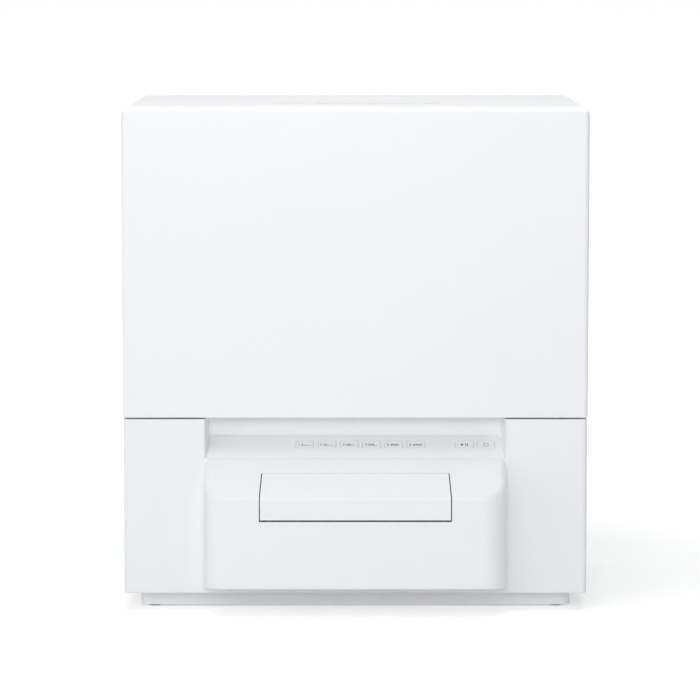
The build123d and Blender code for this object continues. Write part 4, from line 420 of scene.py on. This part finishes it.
# The tub's supports and the frames that carry the links are pressed from galvanised sheet,
# whose zinc shows as large dull and bright crystals.
def galvanised(name, colour, crystal):
    """Zinc-coated sheet: flat crystals of a given size, each with its own tone and gloss."""
    zinc = bpy.data.materials.new(name)
    zinc.use_nodes = True
    tree = zinc.node_tree
    shader = tree.nodes["Principled BSDF"]
    shader.inputs["Metallic"].default_value = 1.0
    place = tree.nodes.new("ShaderNodeTexCoord")
    crystals = tree.nodes.new("ShaderNodeTexVoronoi")
    crystals.inputs["Scale"].default_value = 1.0 / crystal
    single = tree.nodes.new("ShaderNodeSeparateColor")
    tone = tree.nodes.new("ShaderNodeMixRGB")
    tone.inputs["Color1"].default_value = (*[c * 0.82 for c in colour], 1.0)
    tone.inputs["Color2"].default_value = (*[min(1.0, c * 1.12) for c in colour], 1.0)
    gloss = tree.nodes.new("ShaderNodeMapRange")
    gloss.inputs["To Min"].default_value = 0.32
    gloss.inputs["To Max"].default_value = 0.55
    frost = tree.nodes.new("ShaderNodeTexNoise")
    frost.inputs["Scale"].default_value = 2500.0
    relief = tree.nodes.new("ShaderNodeBump")
    relief.inputs["Distance"].default_value = 0.00001
    relief.inputs["Strength"].default_value = 0.5
    for texture in (crystals, frost):
        tree.links.new(place.outputs["Object"], texture.inputs["Vector"])
    tree.links.new(crystals.outputs["Color"], single.inputs[0])
    tree.links.new(single.outputs[0], tone.inputs["Fac"])
    tree.links.new(tone.outputs["Color"], shader.inputs["Base Color"])
    tree.links.new(single.outputs[1], gloss.inputs["Value"])
    tree.links.new(gloss.outputs["Result"], shader.inputs["Roughness"])
    tree.links.new(frost.outputs["Fac"], relief.inputs["Height"])
    tree.links.new(relief.outputs["Normal"], shader.inputs["Normal"])
    return zinc


finish(galvanised("galvanised_sheet", (0.55, 0.56, 0.575), 0.006), "tub_supports", "link_frames")

# The heater is a steel-sheathed rod bent to a ring. Use has tinted it straw and brown in
# bands.
heated = moulding("heated_steel", (0.46, 0.41, 0.36), 0.38, 0.0006, 0.00001, 0.1, 40.0)
tree = heated.node_tree
shader = tree.nodes["Principled BSDF"]
shader.inputs["Metallic"].default_value = 1.0
place = tree.nodes.new("ShaderNodeTexCoord")
bands = tree.nodes.new("ShaderNodeTexNoise")
bands.inputs["Scale"].default_value = 28.0
bands.inputs["Detail"].default_value = 4.0
tint = tree.nodes.new("ShaderNodeValToRGB")
tint.color_ramp.elements[0].position = 0.35
tint.color_ramp.elements[0].color = (0.50, 0.50, 0.50, 1.0)
tint.color_ramp.elements[1].position = 0.7
tint.color_ramp.elements[1].color = (0.34, 0.22, 0.13, 1.0)
tint.color_ramp.elements.new(0.5).color = (0.50, 0.40, 0.26, 1.0)
tree.links.new(place.outputs["Object"], bands.inputs["Vector"])
tree.links.new(bands.outputs["Fac"], tint.inputs["Fac"])
tree.links.new(tint.outputs["Color"], shader.inputs["Base Color"])
finish(heated, "heater")

# The motor's body is cast aluminium, grey and sandy from its mould.
cast = moulding("cast_metal", (0.46, 0.465, 0.47), 0.5, 0.0006, 0.00006, 0.05, 30.0)
cast.node_tree.nodes["Principled BSDF"].inputs["Metallic"].default_value = 1.0
finish(cast, "wash_motor")

# The racks are steel wire dipped in a pale coating.
rack_coat = moulding("rack_coat", (0.62, 0.63, 0.645), 0.35, 0.0012, 0.00003, 0.03)
finish(rack_coat, "lower_rack", "upper_rack")

# Pumps, blower, duct and dampers are dark technical mouldings, and the pipes are rubber.
pump_dark = moulding("pump_dark", (0.045, 0.047, 0.05), 0.5, 0.0007, 0.00004, 0.1)
finish(
    pump_dark, "wash_volute", "wash_impeller", "drain_pump", "blower_housing", "blower_wheel",
    "air_duct", "door_dampers", "supply_valve", "drain_spigot", "cord_gland",
)
hose_dark = moulding("hose_dark", (0.06, 0.062, 0.066), 0.7, 0.0006, 0.00004, 0.1)
finish(hose_dark, "fill_pipe", "wash_pipe", "drain_hose")


# The two boards are glass fibre under green lacquer. Copper tracks show through as paler
# lines, and tinned pads stand in rows between them.
board_green = moulding("board_green", (0.012, 0.10, 0.05), 0.3, 0.001, 0.00001, 0.12, 60.0)
tree = board_green.node_tree
shader = tree.nodes["Principled BSDF"]
lacquer = shader.inputs["Base Color"].links[0].from_socket
place = tree.nodes.new("ShaderNodeTexCoord")
tracks = tree.nodes.new("ShaderNodeTexWave")
tracks.bands_direction = "Z"
tracks.inputs["Scale"].default_value = 190.0
tracks.inputs["Distortion"].default_value = 0.0
thin = tree.nodes.new("ShaderNodeMath")
thin.operation = "GREATER_THAN"
thin.inputs[1].default_value = 0.72
pads = tree.nodes.new("ShaderNodeTexVoronoi")
pads.distance = "CHEBYCHEV"
pads.inputs["Scale"].default_value = 260.0
pads.inputs["Randomness"].default_value = 0.35
small = tree.nodes.new("ShaderNodeMath")
small.operation = "LESS_THAN"
small.inputs[1].default_value = 0.17
copper = tree.nodes.new("ShaderNodeMixRGB")
copper.inputs["Color2"].default_value = (0.04, 0.22, 0.09, 1.0)
tinned = tree.nodes.new("ShaderNodeMixRGB")
tinned.inputs["Color2"].default_value = (0.62, 0.62, 0.60, 1.0)
for texture in (tracks, pads):
    tree.links.new(place.outputs["Object"], texture.inputs["Vector"])
tree.links.new(tracks.outputs["Fac"], thin.inputs[0])
tree.links.new(pads.outputs["Distance"], small.inputs[0])
tree.links.new(lacquer, copper.inputs["Color1"])
tree.links.new(thin.outputs[0], copper.inputs["Fac"])
tree.links.new(copper.outputs["Color"], tinned.inputs["Color1"])
tree.links.new(small.outputs[0], tinned.inputs["Fac"])
tree.links.new(tinned.outputs["Color"], shader.inputs["Base Color"])
finish(board_green, "control_board", "power_board")

# What repeats is grown from small node groups: the crosses in the screw heads, the cooling
# ribs of the motor, the folds of the drain hose, the thread of the supply inlet and the parts
# soldered to the power board.
def node_group(name, **inputs):
    """An empty node group with one geometry output and the named number inputs."""
    group = bpy.data.node_groups.new(name, "GeometryNodeTree")
    for label, value in inputs.items():
        kind = "NodeSocketInt" if isinstance(value, int) else "NodeSocketFloat"
        if isinstance(value, tuple):
            kind = "NodeSocketVector"
        socket = group.interface.new_socket(label, in_out="INPUT", socket_type=kind)
        socket.default_value = value
    group.interface.new_socket("Geometry", in_out="OUTPUT", socket_type="NodeSocketGeometry")
    return group, group.nodes.new("NodeGroupInput"), group.nodes.new("NodeGroupOutput")


def grow(name, group, material, slot, **values):
    """Runs a node group with the given values and keeps the result as a plain mesh."""
    carrier = bpy.data.objects.new(name + "_seed", bpy.data.meshes.new(name + "_seed"))
    bpy.context.scene.collection.objects.link(carrier)
    modifier = carrier.modifiers.new("grow", "NODES")
    modifier.node_group = group
    for item in group.interface.items_tree:
        if item.item_type == "SOCKET" and item.in_out == "INPUT" and item.name in values:
            modifier[item.identifier] = values[item.name]
    carrier.update_tag()
    grown = carrier.evaluated_get(bpy.context.evaluated_depsgraph_get())
    mesh = bpy.data.meshes.new_from_object(grown)
    bpy.data.objects.remove(carrier)
    mesh.name = name
    mesh.materials.clear()
    mesh.materials.append(material)
    piece = bpy.data.objects.new(name, mesh)
    bpy.context.scene.collection.objects.link(piece)
    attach(piece, "root")


def close_group(group, outcome, last, material):
    """Ends a node group: instances become mesh and take their material."""
    real = group.nodes.new("GeometryNodeRealizeInstances")
    paint = group.nodes.new("GeometryNodeSetMaterial")
    paint.inputs["Material"].default_value = material
    group.links.new(last, real.inputs[0])
    group.links.new(real.outputs[0], paint.inputs["Geometry"])
    group.links.new(paint.outputs[0], outcome.inputs[0])


# A dark cross of painted shade stands for the recess in the head of each rear screw, laid out in
# two columns.
recess_shade = moulding("screw_recess", (0.06, 0.06, 0.065), 0.6, 0.0004, 0.00001, 0.1, 60.0)
recess_shade.node_tree.nodes["Principled BSDF"].inputs["Metallic"].default_value = 1.0
crosses, given, outcome = node_group(
    "screw_crosses", Across=0.5, Up=0.5, Rows=4, Length=0.004, Wide=0.0008, Deep=0.0001,
    Place=(0.0, 0.0, 0.0),
)
grid = crosses.nodes.new("GeometryNodeMeshGrid")
grid.inputs["Vertices X"].default_value = 2
stand = crosses.nodes.new("GeometryNodeTransform")
stand.inputs["Rotation"].default_value = (radians(90.0), 0.0, 0.0)
bars = crosses.nodes.new("GeometryNodeJoinGeometry")
for turn in (45.0, 135.0):
    size = crosses.nodes.new("ShaderNodeCombineXYZ")
    bar = crosses.nodes.new("GeometryNodeMeshCube")
    tilt = crosses.nodes.new("GeometryNodeTransform")
    tilt.inputs["Rotation"].default_value = (0.0, radians(turn), 0.0)
    crosses.links.new(given.outputs["Length"], size.inputs["X"])
    crosses.links.new(given.outputs["Deep"], size.inputs["Y"])
    crosses.links.new(given.outputs["Wide"], size.inputs["Z"])
    crosses.links.new(size.outputs[0], bar.inputs["Size"])
    crosses.links.new(bar.outputs["Mesh"], tilt.inputs["Geometry"])
    crosses.links.new(tilt.outputs[0], bars.inputs[0])
copies = crosses.nodes.new("GeometryNodeInstanceOnPoints")
crosses.links.new(given.outputs["Across"], grid.inputs["Size X"])
crosses.links.new(given.outputs["Up"], grid.inputs["Size Y"])
crosses.links.new(given.outputs["Rows"], grid.inputs["Vertices Y"])
crosses.links.new(grid.outputs["Mesh"], stand.inputs["Geometry"])
crosses.links.new(given.outputs["Place"], stand.inputs["Translation"])
crosses.links.new(stand.outputs[0], copies.inputs["Points"])
crosses.links.new(bars.outputs[0], copies.inputs["Instance"])
close_group(crosses, outcome, copies.outputs["Instances"], recess_shade)
screws_low, screws_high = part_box("rear_screws")
screw_head = 0.008
grow(
    "screw_recesses", crosses, recess_shade, "zinc_steel",
    Across=screws_high.x - screws_low.x - screw_head,
    Up=screws_high.z - screws_low.z - screw_head,
    Place=(0.0, screws_high.y, (screws_low.z + screws_high.z) / 2),
)

# Rings in a row: each is a thin round bead, and the row runs along one axis.
beads, given, outcome = node_group(
    "bead_row", Count=10, Step=(0.0, 0.005, 0.0), Radius=0.01, Thick=0.0005,
    Turn=(0.0, 0.0, 0.0), Place=(0.0, 0.0, 0.0),
)
row = beads.nodes.new("GeometryNodeMeshLine")
bead = beads.nodes.new("GeometryNodeCurvePrimitiveCircle")
bead.inputs["Resolution"].default_value = 48
section = beads.nodes.new("GeometryNodeCurvePrimitiveCircle")
section.inputs["Resolution"].default_value = 8
skin = beads.nodes.new("GeometryNodeCurveToMesh")
tilt = beads.nodes.new("GeometryNodeTransform")
copies = beads.nodes.new("GeometryNodeInstanceOnPoints")
beads.links.new(given.outputs["Count"], row.inputs["Count"])
beads.links.new(given.outputs["Step"], row.inputs["Offset"])
beads.links.new(given.outputs["Place"], row.inputs["Start Location"])
beads.links.new(given.outputs["Radius"], bead.inputs["Radius"])
beads.links.new(given.outputs["Thick"], section.inputs["Radius"])
beads.links.new(bead.outputs["Curve"], skin.inputs["Curve"])
beads.links.new(section.outputs["Curve"], skin.inputs["Profile Curve"])
beads.links.new(skin.outputs["Mesh"], tilt.inputs["Geometry"])
beads.links.new(given.outputs["Turn"], tilt.inputs["Rotation"])
beads.links.new(row.outputs["Mesh"], copies.inputs["Points"])
beads.links.new(tilt.outputs[0], copies.inputs["Instance"])
close_group(beads, outcome, copies.outputs["Instances"], cast)

# The motor's shell has cast cooling ribs round it.
motor_low, motor_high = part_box("wash_motor")
motor_radius = (motor_high.y - motor_low.y) / 2
motor_first_rib = 0.011
motor_rib_pitch = 0.0055
motor_axis_z = motor_high.z - motor_radius
grow(
    "motor_ribs", beads, cast, "motor_metal", Count=12, Step=(motor_rib_pitch, 0.0, 0.0),
    Radius=motor_radius, Thick=0.0012, Turn=(0.0, radians(90.0), 0.0),
    Place=(motor_low.x + motor_first_rib, (motor_low.y + motor_high.y) / 2, motor_axis_z),
)

# The drain hose is folded along its length, with a plain cuff at each end.
hose_low, hose_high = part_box("drain_hose")
hose_radius = (hose_high.z - hose_low.z) / 2
hose_first_fold = 0.009
hose_cuffs = 0.016
hose_fold_pitch = 0.0032
hose_x = (hose_low.x + hose_high.x) / 2
hose_z = (hose_low.z + hose_high.z) / 2
grow(
    "hose_folds", beads, hose_dark, "hose_grey",
    Count=int((hose_high.y - hose_low.y - hose_cuffs) / hose_fold_pitch),
    Step=(0.0, hose_fold_pitch, 0.0), Radius=hose_radius, Thick=0.0009,
    Turn=(radians(90.0), 0.0, 0.0), Place=(hose_x, hose_low.y + hose_first_fold, hose_z),
)

# The supply inlet is cut with a fine pipe thread near its end.
valve_low, valve_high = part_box("supply_valve")
valve_x = (valve_low.x + valve_high.x) / 2
inlet_z = 0.075
thread_pitch = 0.0018
thread_run_out = 0.0012
grow(
    "supply_thread", beads, pump_dark, "pump_plastic", Count=8, Step=(0.0, -thread_pitch, 0.0),
    Radius=0.0105, Thick=0.0004, Turn=(radians(90.0), 0.0, 0.0),
    Place=(valve_x, valve_high.y - thread_run_out, inlet_z),
)

# Small parts in a loose grid stand on the power board, with some places left empty.
part_black = moulding("part_black", (0.02, 0.02, 0.022), 0.4, 0.0004, 0.00001, 0.1, 80.0)
chips, given, outcome = node_group(
    "board_parts", Long=0.1, Wide=0.03, Columns=20, Rows=4, Seed=3,
    Size=(0.003, 0.0016, 0.0012), Turn=(0.0, 0.0, 0.0), Place=(0.0, 0.0, 0.0),
)
grid = chips.nodes.new("GeometryNodeMeshGrid")
pick = chips.nodes.new("FunctionNodeRandomValue")
pick.data_type = "BOOLEAN"
pick.inputs["Probability"].default_value = 0.55
spread = chips.nodes.new("FunctionNodeRandomValue")
spread.data_type = "FLOAT"
for socket in spread.inputs:
    if socket.name == "Min" and socket.type == "VALUE":
        socket.default_value = 0.55
    if socket.name == "Max" and socket.type == "VALUE":
        socket.default_value = 1.25
block_form = chips.nodes.new("GeometryNodeMeshCube")
copies = chips.nodes.new("GeometryNodeInstanceOnPoints")
lay = chips.nodes.new("GeometryNodeTransform")
chips.links.new(given.outputs["Long"], grid.inputs["Size X"])
chips.links.new(given.outputs["Wide"], grid.inputs["Size Y"])
chips.links.new(given.outputs["Columns"], grid.inputs["Vertices X"])
chips.links.new(given.outputs["Rows"], grid.inputs["Vertices Y"])
chips.links.new(given.outputs["Seed"], pick.inputs["Seed"])
chips.links.new(given.outputs["Seed"], spread.inputs["Seed"])
chips.links.new(given.outputs["Size"], block_form.inputs["Size"])
chips.links.new(grid.outputs["Mesh"], copies.inputs["Points"])
chips.links.new(block_form.outputs["Mesh"], copies.inputs["Instance"])
for socket in pick.outputs:
    if socket.enabled:
        chips.links.new(socket, copies.inputs["Selection"])
for socket in spread.outputs:
    if socket.enabled:
        chips.links.new(socket, copies.inputs["Scale"])
chips.links.new(copies.outputs["Instances"], lay.inputs["Geometry"])
chips.links.new(given.outputs["Turn"], lay.inputs["Rotation"])
chips.links.new(given.outputs["Place"], lay.inputs["Translation"])
close_group(chips, outcome, lay.outputs[0], part_black)
board_low, board_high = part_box("power_board")
board_face = 0.0096
part_lift = 0.0003
board_y = (board_low.y + board_high.y) / 2
board_z = (board_low.z + board_high.z) / 2
grow(
    "power_board_parts", chips, part_black, "board_green", Long=0.052, Wide=0.104,
    Columns=9, Rows=16, Seed=4, Turn=(0.0, radians(90.0), 0.0),
    Place=(board_low.x + board_face + part_lift, board_y, board_z),
)
